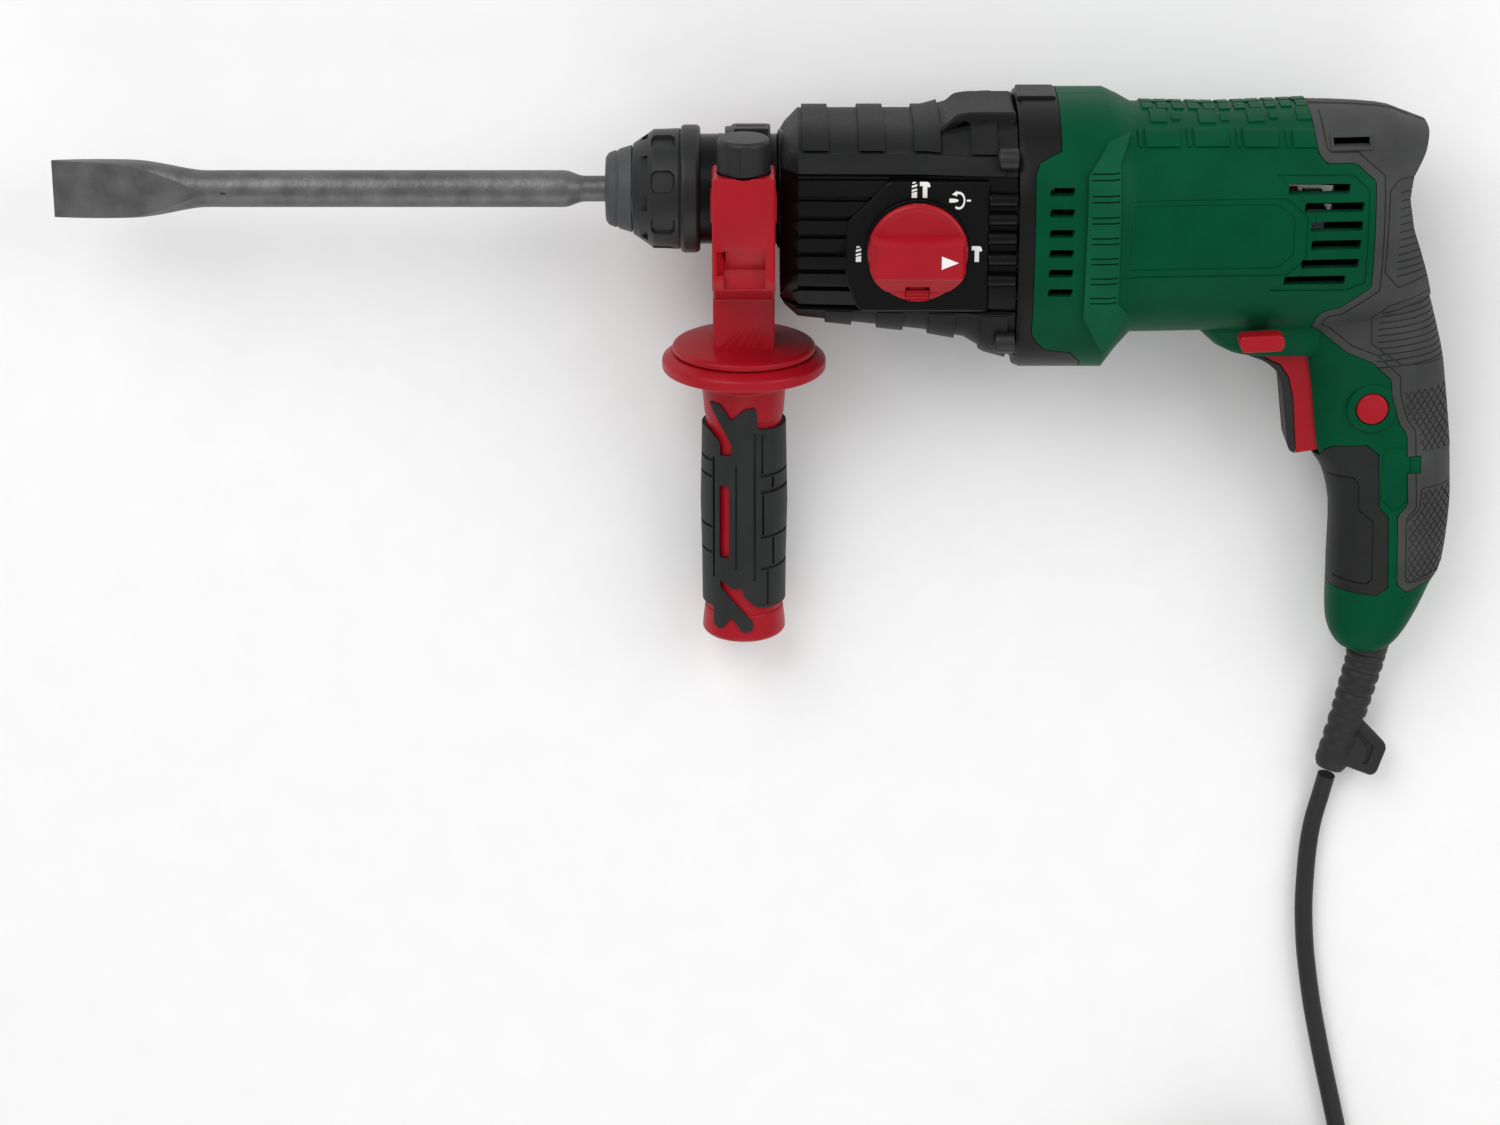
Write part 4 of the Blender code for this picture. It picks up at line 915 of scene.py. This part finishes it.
def gear_case_pieces():
    outer = shared(gearbox_form(0.0))
    case = block((60, -60, -37.3), (156.8, 60, 15.3))
    keep(case, gearbox_form(2.6))
    join(case, gearbox_form(2.8))
    ribs = []
    bottoms = [z for z, _ in RIB_ROWS[1:]] + [LAST_RIB_Z]
    for (top, end), bottom in zip(RIB_ROWS, bottoms):
        for side in (-1, 1):
            y0, y1 = sorted((side * 28.0, side * 60.0))
            outline = [(72.0, bottom + 3.2), (74.6, bottom + 1.1), (end - 4.5, bottom + 1.1),
                       (end - 2.2, bottom + 2.4),
                       (end, top - 0.9), (74.6, top - 0.9), (72.0, top - 2.2)]
            ribs.append(prism(outline, "y", y0, y1))
    for rib in ribs:
        keep(rib, outer)
        join(case, rib)
    plate = rounded([(96.0, -34.6), (92.0, -24.0), (92.0, -2.0), (100.0, 6.0), (108.0, 14.3), (146.4, 14.3),
                     (146.4, -36.8),
                     (98.0, -36.8)], 1.5)
    for side in (-1, 1):
        y0, y1 = sorted((side * 30.0, side * 41.0))
        join(case, prism(plate, "y", y0, y1, 0.7))
    join(case, turned(rounded([(34.9, 0), (34.9, NECK_R), (43.0, NECK_R), (43.6, NECK_R + 0.2), (45.0, NECK_R + 0.2),
                               (45.6, NECK_R), (66.0, NECK_R), (66.6, 23.0), (76, 23.0), (76, 0)], 0.3, False),
                               steps=96))
    join(case, turned(rounded([(-42.6, 0), (-42.6, 19.8), (-30, 19.8), (-30, 0)], 0.6, False),
                      KNOB, "y", 96))
    for side in (-1, 1):
        for z in (7.3, -0.1, -7.6, -15.9, -24.2):
            fin = turned(rounded([(145.6, 0), (145.6, 2.7), (157.0, 2.7), (157.0, 0)], 2.0, False),
                         (0, side * 40.6, z), "x", 32)
            join(case, fin)
    cut(case, gearbox_form(7.0, 2, 3.0))
    cut(case, rod(30, 80, 19.4, steps=96))
    cut(case, rod(-60, -20, 6.2, KNOB, "y", 48))
    cut(case, block((157.0, -60, -80), (170, 60, 60)))
    piece(case, "gear_housing", "housing", CASTING, ("gear_case",), 30)

    lining = shared(gearbox_form(2.5))
    base = shared(gearbox_form(1.3))
    for name, zone, stands, rows in (
        ("top_jacket", ((60, -60, 15.6), (157.0, 60, 60)), "gear_jacket_upper", "top"),
        ("base_jacket", ((60, -60, -90), (157.0, 60, -37.6)), "gear_jacket_lower", "base"),
    ):
        jacket = block(*zone)
        keep(jacket, base)
        if rows == "top":
            spans = [((x, -60, 23.6), (x + 9.8, 60, 60)) for x in (75.6, 96.9, 118.0, 139.2)]
            rail = block((70.8, -60, 16.0), (152.0, 60, 22.6), 1.6)
        else:
            spans = [((x, -60, -90), (x + 10.0, 60, -39.0)) for x in (84.6, 104.4, 124.2, 144.0)]
            rail = block((72.9, -60, -39.7), (155.7, 60, -38.3))
        for low, high in spans:
            bar = block(low, high)
            keep(bar, outer)
            join(jacket, bar)
        keep(rail, gearbox_form(0.3))
        join(jacket, rail)
        if rows == "top":
            fairing = rounded([(126.0, 28.0), (134.0, 35.6), (139.0, 36.4), (156.6, 36.4), (156.6, 28.0)], 1.8)
            join(jacket, prism(fairing, "y", -23.0, 10.0, 0.8))
        else:
            keel = rounded([(141.0, -54.0), (147.0, -61.6), (153.0, -62.4), (156.6, -65.0), (156.6, -52.0),
                            (143.0, -50.0)], 1.8)
            join(jacket, prism(keel, "y", -14.0, 14.0, 0.8))
        cut(jacket, lining)
        cut(jacket, rod(50, 80, 23.0 + GAP, steps=96))
        cut(jacket, block((157.0, -60, -80), (170, 60, 60)))
        piece(jacket, name, "housing", JACKET, (stands,), 34, bevel=0.7)
    for side in (-1, 1):
        for number, z in enumerate((22.2, -50.1)):
            boss = turned(rounded([(149.0, 0), (149.0, 3.2), (150.0, 4.2), (156.9, 4.2), (156.9, 0)], 0.8, False),
                          (0, side * 37.5, z), "x", 32)
            cut(boss, prism([(side * 37.5 + 1.9 * math.cos(t), z + 1.9 * math.sin(t)) for t in
                             (math.tau * i / 6 for i in range(6))], "x", 147, 151.0))
            piece(boss, "case_bolt_%s_%d" % ("left" if side < 0 else "right", number + 1), "housing", BLACKED, (),
                  30)


gear_case_pieces()

# -------------------- mode selector


PRINT_DEPTH = 0.14


def arc_ring(outer_r, inner_r, start, end):
    """Part of a flat ring, between two angles."""
    steps = 14
    turn = [math.radians(start + (end - start) * i / steps) for i in range(steps + 1)]
    return ([(outer_r * math.cos(t), outer_r * math.sin(t)) for t in turn]
            + [(inner_r * math.cos(t), inner_r * math.sin(t)) for t in reversed(turn)])


def drill_marks(x, z):
    """A drill bit: a stub under slanted flutes."""
    found = [[(x - 1.0, z - 3.1), (x + 1.0, z - 3.1), (x + 1.0, z - 0.7), (x - 1.0, z - 1.2)]]
    for low in (-0.5, 1.1):
        found.append([(x - 1.0, z + low - 0.3), (x + 1.0, z + low + 0.3), (x + 1.0, z + low + 1.1),
                      (x - 1.0, z + low + 0.5)])
    found.append([(x - 0.9, z + 2.3), (x + 0.8, z + 2.8), (x + 0.1, z + 3.1), (x - 0.6, z + 3.1)])
    return found


def hammer_marks(x, z):
    return [[(x - 0.85, z - 3.1), (x + 0.85, z - 3.1), (x + 0.85, z + 1.3), (x + 1.4, z + 0.9), (x + 2.0, z + 1.3),
             (x + 1.7, z + 2.6), (x + 0.8, z + 3.1), (x - 2.0, z + 3.1), (x - 2.0, z + 1.5), (x - 0.85, z + 1.5)]]


def turn_marks(x, z):
    """A shaft with an arrow bent round it."""
    found = [[(x + 0.7 * a, z + b) for a, b in arc_ring(3.5, 2.6, -125, 112)]]
    found.append([(x - 2.6, z + 2.4), (x - 0.7, z + 3.9), (x - 0.7, z + 1.7)])
    found.append([(x - 3.6, z - 0.75), (x - 1.7, z - 0.75), (x - 0.2, z - 0.35), (x - 0.2, z + 0.35),
                  (x - 1.7, z + 0.75),
                  (x - 3.6, z + 0.75)])
    found.append([(x + 3.0, z - 0.35), (x + 4.5, z - 0.35), (x + 4.5, z + 0.35), (x + 3.0, z + 0.35)])
    return found


def print_marks(shapes, y, name, body):
    """White marks, a thin layer of print on a face at y."""
    piece(plates(shapes, y, y + PRINT_DEPTH), name, body, WHITE, (), 30, weighted=False)


def selector_pieces():
    face = KNOB_FACE_Y
    knob = turned(
        rounded([(-26.0, 0), (-26.0, 5.9), (-43.0, 5.9), (-43.0, KNOB_R - 0.8), (-43.6, KNOB_R), (face + 1.4, KNOB_R),
                 (face + 0.5, KNOB_R - 1.3), (face + 0.9, KNOB_R - 3.0), (face + 0.9, 0)], 0.5, False), KNOB, "y",
                 112)
    # The finger bar: half length, low edge and high edge of its outline at four depths.
    rings = []
    for y, half, low, high in ((-44.0, 18.2, -15.2, 7.0), (face + 0.4, 18.2, -15.0, 6.8),
                               (face - 3.5, 17.9, -9.4, 4.8),
                               (face - 4.4, 17.0, -8.6, 4.2)):
        corners = rounded([(-half, low), (half, low), (half, high), (-half, high)], 0.8)
        rings.append([(KNOB_X + a, y, KNOB_Z + b) for a, b in corners])
    bar = loft(rings)
    keep(bar, rod(-60, -40, KNOB_R + 0.1, KNOB, "y", 112))
    ends = [(KNOB_X + a, b) for a, b in ((-20, -40), (-20, -47.0), (-15.0, -51.6), (16.6, -51.6), (20, -47.0),
                                         (20, -40))]
    keep(bar, prism(ends, "z", KNOB_Z - 30, KNOB_Z + 30))
    join(knob, bar)
    cut(knob, block((KNOB_X - 4.6, -52, KNOB_Z - 24), (KNOB_X + 4.6, -44.2, KNOB_Z - 12.6)))
    cut(knob, block((KNOB_X - 3.6, -45.5, KNOB_Z - 14), (KNOB_X + 3.6, -43.4, KNOB_Z - 10.0)))
    piece(knob, "mode_knob", "mode_selector", RED, ("mode_selector",), 32)
    latch = block((KNOB_X - 4.3, face + 0.3, KNOB_Z - 24.0), (KNOB_X + 4.3, -44.5, KNOB_Z - 14.6), 0.3)
    keep(latch, rod(-60, -40, KNOB_R - 0.2, KNOB, "y", 112))
    join(latch, block((KNOB_X - 3.2, -45.2, KNOB_Z - 16.0), (KNOB_X + 3.2, -43.8, KNOB_Z - 12.2)))
    ridges = [((KNOB_X - 5, face - 1.0, KNOB_Z - 18.2 + 1.3 * i), (KNOB_X + 5, face + 0.7,
                                                                   KNOB_Z - 17.8 + 1.3 * i)) for i in range(3)]
    cut(latch, blocks(ridges))
    piece(latch, "knob_latch", "selector_latch", RED, ("selector_latch",), 32)
    pointer = [(KNOB_X + a, KNOB_Z + b) for a, b in ((8.8, 0.4), (15.2, -2.2), (8.8, -4.8))]
    print_marks([pointer], face - 4.52, "knob_pointer", "mode_selector")
    marks = drill_marks(117.6, 11.4) + hammer_marks(121.6, 11.4) + turn_marks(134.4, 7.2)
    marks += hammer_marks(141.6, -13.8) + drill_marks(96.8, -13.8)
    print_marks(marks, -41.14, "mode_marks", "housing")


selector_pieces()

# -------------------- motor housing

# Cutters for the left side start outside it, at SIDE_Y, and panel cutters end short of the middle.
SIDE_Y, PANEL_END_Y = -62.0, -8.0
FRONT_VENTS = [(168.6 + 0.1 * (5 - i) / 5, 177.8, 10.75 - 7.78 * i) for i in range(6)]
REAR_VENTS = ((259.3, 282.6, 12.3), (265.4, 288.0, 5.6), (267.9, 287.7, -1.5), (268.3, 287.3, -8.7),
              (265.0, 287.0, -16.3),
              (258.8, 282.3, -23.1))


def vent_forms():
    """The air slots on one side, as one mesh of slanted prisms."""
    found = []
    for x0, x1, z in FRONT_VENTS:
        found.append([(x0 + 0.5, z + 1.5), (x1 + 0.5, z + 1.5), (x1 - 0.3, z - 1.6), (x0 - 0.2, z - 1.6)])
    for x0, x1, top in REAR_VENTS:
        found.append([(x0, top), (x1, top), (x1 - 0.4, top - 3.7), (x0 - 0.4, top - 3.7)])
    return plates([rounded(outline, 0.7, steps=2) for outline in found], SIDE_Y, -30.0)


def sunk(outline, floor):
    """What has to go for a panel pressed into the side, down to the given inner shape."""
    return cut(prism(outline, "y", SIDE_Y, PANEL_END_Y), floor)


def groove(outline, width, floor):
    """A fine line that follows a closed outline."""
    tool = prism(outline, "y", SIDE_Y, PANEL_END_Y)
    cut(tool, prism(inside(outline, width), "y", SIDE_Y - 1, PANEL_END_Y + 1))
    return cut(tool, floor)


def top_ladder(raised):
    """The embossed pattern on one side of the housing's top: scallops, stepped blocks and framed fields."""
    scallops, fields, steps = [], [], []
    for i in range(11):
        x = 206.0 + 5.9 * i
        scallops.append(((x, -4.0, 20.0), (x + 4.1, 0.0, 60.0)))
    for i in range(4):
        x = 203.0 + 18.6 * i
        fields.append(((x, -60.0, 24.6), (x + 1.3, -17.0, 29.6)))
        fields.append(((x + 2.6, -60.0, 24.6), (x + 15.6, -17.0, 29.6)))
        steps.append(((x + 5.2, -16.2, 20.0), (x + 11.4, -5.4, 60.0)))
        steps.append(((x + 13.4, -14.4, 20.0), (x + 16.4, -8.4, 60.0)))
    form = blocks(scallops + fields + steps)
    return keep(form, raised)


def far_scallops(raised):
    form = blocks([((206.3 + 5.9 * i, 5.0, 20.0), (210.3 + 5.9 * i, 26.0, 60.0)) for i in range(11)])
    return keep(form, raised)


def housing_pieces():
    outer = shared(housing_form(0.0))
    fine = shared(housing_form(0.5))
    deep = shared(housing_form(0.9))
    raised = shared(housing_form(-0.7))
    lining = shared(housing_form(2.6 - GAP))
    cavity = shared(housing_form(5.0, front=4.0))
    trigger_slot = shared(block((246.6, -10.2, -106), (300, 10.2, -60.0)))
    lever_slot = shared(block((245.0, -70, -56.9), (259.6, 70, -52.7)))
    relief_hole = shared(rod(-30, 9, 9.9, RELIEF_HOLE, "z", 48))
    vents = shared(vent_forms())
    ladder = shared(top_ladder(raised))

    panel = rounded([(198.5, 6.4), (258.6, 7.4), (266.6, 0.8), (266.7, -15.9), (259.4, -22.9), (197.6, -23.6)], 1.4)
    inner_panel = rounded([(200.3, 4.4), (255.4, 5.2), (261.8, 0.2), (261.9, -14.3), (256.0, -19.9), (199.4, -20.7)],
                          1.4)
    vent_field = rounded([(254.0, 15.6), (283.6, 15.6), (289.9, 10.2), (290.0, -26.6), (283.0, -29.6), (252.6, -29.4),
                          (262.8, -24.0), (269.2, -18.0), (269.2, 2.6)], 1.2)
    waist = rounded([(304.2, -100.6), (313.2, -100.2), (315.4, -104.8), (315.8, -121.8), (311.2, -127.0),
                     (309.2, -127.0),
                     (304.0, -122.2)], 1.0)
    shell = block((155, -70, -200), (350, -GAP / 2, 70))
    keep(shell, outer)
    cut(shell, sunk(panel, fine), sunk(inner_panel, deep), sunk(vent_field, fine), sunk(waist, fine))
    join(shell, turned(rounded([(-18.4, 0), (-18.4, 9.4), (-17.6, 10.0), (-8, 10.0), (-8, 0)], 0.5, False),
                       LOCK_BUTTON, "y", 72))
    join(shell, ladder)
    cut(shell, block((150, -GAP / 2, -200), (350, 40, 70)))
    rear_zone = shared(cut(prism(REAR_SOFT, "y", -75, 75), prism(NOTCH, "y", -80, 80)))
    pad_zone = shared(prism(FRONT_SOFT, "y", -75, 75))
    collar = shared(prism(COLLAR_EDGE, "y", -75, 75))
    cut(shell, rear_zone, pad_zone)
    lined = block((186.3, -70, -200), (350, -GAP / 2 - 0.08, 70))
    keep(lined, housing_form(2.6))
    join(shell, lined)
    cut(shell, cavity, collar, trigger_slot, lever_slot, relief_hole, vents, block(*CAP_ROOM))
    other = mirrored(shell)
    join(other, far_scallops(housing_form(-0.85)))
    cut(shell, rod(-30, -4, 6.6, LOCK_BUTTON, "y", 56))
    cap = rod(7, 30, 10.6, LOCK_BUTTON, "y", 48)
    cut(cap, fine)
    cut(other, cap)
    for x, z in SCREWS:
        well = rod(8.6, 70, 4.1, (x, 0, z), "y", 40)
        cut(other, well)
    piece(shell, "shell_left", "housing", GREEN, ("housing_left",), 28)
    piece(other, "shell_right", "housing", GREEN, ("housing_right",), 28)

    # The ribbed band beside the front vents.
    over = shared(housing_form(-1.5))
    band = prism(rounded(BAND, 0.8), "y", -62, -22)
    keep(band, over)
    cut(band, deep)
    spans = []
    for i in range(7):
        for shift in (0.0, 2.2):
            z = 17.4 - 7.9 * i - shift
            spans.append(((184.6, -62, z - 0.28), (195.0, -22, z + 0.28)))
    lines = blocks(spans)
    cut(lines, outer)
    cut(band, lines)
    both_sides(band, "ribbed_band", BAND_GREEN)

    ring = block((150, -60, -80), (190, 60, 50))
    keep(ring, barrel_form(0.0))
    zone = prism(rounded(inside(COLLAR_EDGE, GAP), 1.0), "y", -70, 70)
    keep(ring, zone)
    cut(ring, barrel_form(5.0, front=4.0))
    hump = block((157.6, -9, 36.0), (172.4, 9, 39.2), 1.0)
    join(ring, hump)
    cut(ring, block((155.0, -60, -80), (157.3, 60, 60)))
    piece(ring, "housing_ring", "housing", COLLAR, ("housing_collar",), 28, bevel=0.5)
    soft_pieces(outer, fine, lining, trigger_slot, vents)


def slanted_grooves(rows, low_x, high_x):
    """Thin slanted slots through the side, one for each height."""
    width, rise = 0.55, 0.10
    middle = (low_x + high_x) / 2
    spans, turns = [], []
    for z in rows:
        spans.append(((low_x, SIDE_Y, -width / 2), (high_x, -4.0, width / 2)))
        turns.append(
            Matrix.Translation((middle, 0, z)) @ Matrix.Rotation(-rise, 4, "Y") @ Matrix.Translation((-middle, 0, 0))
        )
    return blocks(spans, turns)


def soft_pieces(outer, fine, lining, trigger_slot, vents):
    rear = prism(rounded(inside(REAR_SOFT, GAP), 1.2), "y", -70, -GAP / 2)
    keep(rear, outer)
    cut(rear, groove(inside(REAR_SOFT, 3.4), 0.5, fine))
    upper = [(301.6, 13.6), (345, 13.6), (345, -20.0), (303.4, -30.0), (297.0, -22.4), (297.4, 9.4)]
    middle = [(301.6, -38.2), (345, -31.0), (345, -66.0), (309.6, -66.5), (296.4, -57.0), (295.6, -44.4)]
    for outline in (upper, middle):
        cut(rear, groove(rounded(outline, 1.0), 0.45, fine))
    lines = slanted_grooves([10.6 - 3.0 * i for i in range(12)], 302.0, 345.0)
    cut(lines, fine)
    cut(rear, lines)
    lines = slanted_grooves([-40.6 - 2.7 * i for i in range(10)], 299.0, 345.0)
    cut(lines, fine)
    cut(rear, lines)
    knurled = (
        [(308.6, -76.6), (345, -73.6), (345, -103.6), (318.6, -103.8), (317.0, -93.4), (311.6, -88.0),
         (310.4, -81.0)],
        [(320.4, -117.6), (345, -116.0), (345, -154.0), (318.6, -158.0), (315.6, -155.0), (314.8, -131.6),
         (319.8, -126.4)],
    )
    for outline in knurled:
        cut(rear, groove(rounded(outline, 0.8), 0.45, fine))
        zone = shared(prism(inside(outline, 1.2), "y", -62, -4))
        for lean, floor in ((58, housing_form(0.44)), (-58, housing_form(0.38))):
            spans = [((325 - 40, -64, -0.18), (325 + 40, -2, 0.18))] * 22
            centre_z = sum(p[1] for p in outline) / len(outline)
            turns = [
                Matrix.Translation((0, 0, centre_z + (k - 10.37) * 4.4))
                @ Matrix.Translation((325, 0, 0)) @ Matrix.Rotation(math.radians(lean), 4,
                                                                    "Y") @ Matrix.Translation((-325, 0, 0))
                for k in range(22)
            ]
            net = blocks(spans, turns)
            keep(net, zone)
            cut(net, floor)
            cut(rear, net)
    lozenge = rounded([(319.6, -106.6), (345, -104.6), (345, -114.6), (321.4, -113.4), (319.0, -111.4),
                       (318.8, -108.4)], 0.8)
    cut(rear, groove(lozenge, 0.6, fine))
    rim = block(*CAP_RIM, 0.6)
    keep(rim, housing_form(-0.5))
    join(rear, rim)
    cut(rear, block(*CAP_SLOT), prism(inside(NOTCH, -GAP), "y", -70, 0))
    cut(rear, lining)
    cut(rear, vents)
    cut(rear, block((260, -GAP / 2, -200), (350, 40, 70)))
    both_sides(rear, "rear_grip", SOFT, "rear_overmould")

    pad = prism(rounded(inside(FRONT_SOFT, GAP), 1.0), "y", -70, -GAP / 2)
    keep(pad, outer)
    panel = rounded([(270.0, -114.0), (293.6, -113.4), (295.8, -116.0), (296.2, -127.0), (302.2, -131.6),
                     (303.0, -156.4),
                     (300.4, -158.4), (270.0, -155.6)], 0.9)
    cut(pad, groove(panel, 0.5, fine))
    cut(pad, lining, trigger_slot)
    both_sides(pad, "front_pad", PAD_SOFT, "front_grip")


housing_pieces()
drop_shared()

# -------------------- trigger, lever and button


def control_pieces():
    soft_trigger = rounded(TRIGGER, 2.0)
    red = prism(soft_trigger, "y", -9.0, 9.0, 0.5)
    cut(red, prism(TRIGGER_SPLIT, "y", -20, 20))
    piece(red, "trigger_body", "trigger", RED, ("trigger",), 32, bevel=0.3)
    black = prism(soft_trigger, "y", -9.5, 9.5, 0.5)
    keep(black, prism(inside(TRIGGER_SPLIT, GAP), "y", -20, 20))
    piece(black, "trigger_strip", "trigger", GRIP_SOFT, ("trigger_face",), 32, bevel=0.3)

    lever = block((247.8, -32.0, -56.0), (256.2, 32.0, -53.1), 0.3)
    join(lever, block((248.0, -7.0, -58.4), (261.0, 7.0, -53.3), 0.3))
    tab = [(244.6, -54.7), (242.8, -50.4), (243.9, -48.2), (258.8, -47.4), (260.4, -48.7), (260.4, -52.8),
           (259.4, -53.9)]
    for sign in (-1, 1):
        y0, y1 = sorted((sign * 30.0, sign * 37.8))
        join(lever, prism(rounded(tab, 1.4), "y", y0, y1, 0.6))
    join(lever, rod(-4.4, 1.6, 2.8, (260.0, 0, -55.2), "z", 32))
    piece(lever, "reverse_lever", "direction_lever", RED, ("direction_lever",), 32, bevel=0.3)

    button = turned(
        rounded([(-12.5, 0), (-12.5, 6.2), (-18.4, 6.2), (-19.0, 5.6), (-18.8, 3.0), (-18.7, 0)], 0.5, False),
        LOCK_BUTTON, "y", 64)
    piece(button, "lock_on_button", "lock_button", RED, ("lock_button",), 32)


def screw_pieces():
    for number, (x, z) in enumerate(SCREWS, 1):
        made = turned(
            rounded([(-12.0, 0), (-12.0, 1.7), (9.0, 1.7), (9.0, 3.6), (11.0, 3.6), (11.5, 2.8), (11.5, 0)], 0.3,
                    False),
            (x, 0, z), "y", 32)
        star = []
        for i in range(12):
            reach = 1.9 if i % 2 == 0 else 1.25
            star.append((x + reach * math.cos(math.tau * i / 12), z + reach * math.sin(math.tau * i / 12)))
        cut(made, prism(star, "y", 10.2, 14.0))
        piece(made, "shell_screw_%d" % number, "housing", DARK_STEEL_AND_SHADE, ("housing_screw_%d" % number,), 32)


control_pieces()
screw_pieces()

# -------------------- inner parts, as the CAD has them

INNER = {
    STEEL: ("bearing_plate", "motor_bearing_front", "armature_shaft", "countershaft",
            "countershaft_gear", "countershaft_pinion", "spindle", "spindle_gear", "spindle_bearing_front",
            "locking_ball", "ball_retainer", "sleeve_spring", "wobble_plate", "piston_pin", "clamp_bolt"),
    # The rear motor bearing gets the dark steel as painted shade: it is bright steel, but it sits in shade behind the
    # rear vents.
    DARK_STEEL_AND_SHADE: ("impact_bolt", "striker", "inner_support", "motor_bearing_rear"),
    LAMINATION: ("stator_core", "armature_core", "piston"),
    COPPER: ("stator_winding_front", "stator_winding_rear", "commutator"),
    CARBON: ("carbon_brush_left", "carbon_brush_right"),
    DEEP_RED: ("fan",),
    BLACK: ("switch_module", "cord_clamp"),
}
for finish, names in INNER.items():
    for name in names:
        mesh = frame["nodes"][name].data
        mesh.materials.clear()
        mesh.materials.append(finish)

# -------------------- floor and light


WORLD_LIGHT = 0.60


def studio():
    bpy.context.scene.view_settings.view_transform = "Standard"
    form = bmesh.new()
    bmesh.ops.create_grid(form, x_segments=1, y_segments=1, size=4000.0)
    floor = carry(form, Matrix.Translation((0, 0, -0.0004)), "studio_floor")
    pale = surface("pale_floor", (0.86, 0.86, 0.86), 0.75, grain=300, depth=0.02, tone=0.01)
    floor.data.materials.append(pale)
    world = bpy.data.worlds.new("studio")
    world.use_nodes = True
    world.node_tree.nodes["Background"].inputs["Color"].default_value = (1.0, 1.0, 1.0, 1.0)
    world.node_tree.nodes["Background"].inputs["Strength"].default_value = WORLD_LIGHT
    bpy.context.scene.world = world
    for name, at, look, size, power in (
        ("key_light", (-1.3, 1.9, 2.3), (0.0, 0.0, 0.03), 2.2, 48.0),
        ("fill_light", (1.9, 0.9, 1.8), (0.05, 0.0, 0.03), 1.8, 24.0),
        ("low_light", (0.1, -2.0, 1.2), (0.0, 0.0, 0.03), 1.6, 10.0),
    ):
        lamp = bpy.data.lights.new(name, "AREA")
        lamp.energy = power
        lamp.size = size
        obj = bpy.data.objects.new(name, lamp)
        obj.location = at
        obj.rotation_euler = (Vector(look) - Vector(at)).to_track_quat("-Z", "Y").to_euler()
        bpy.context.scene.collection.objects.link(obj)


studio()
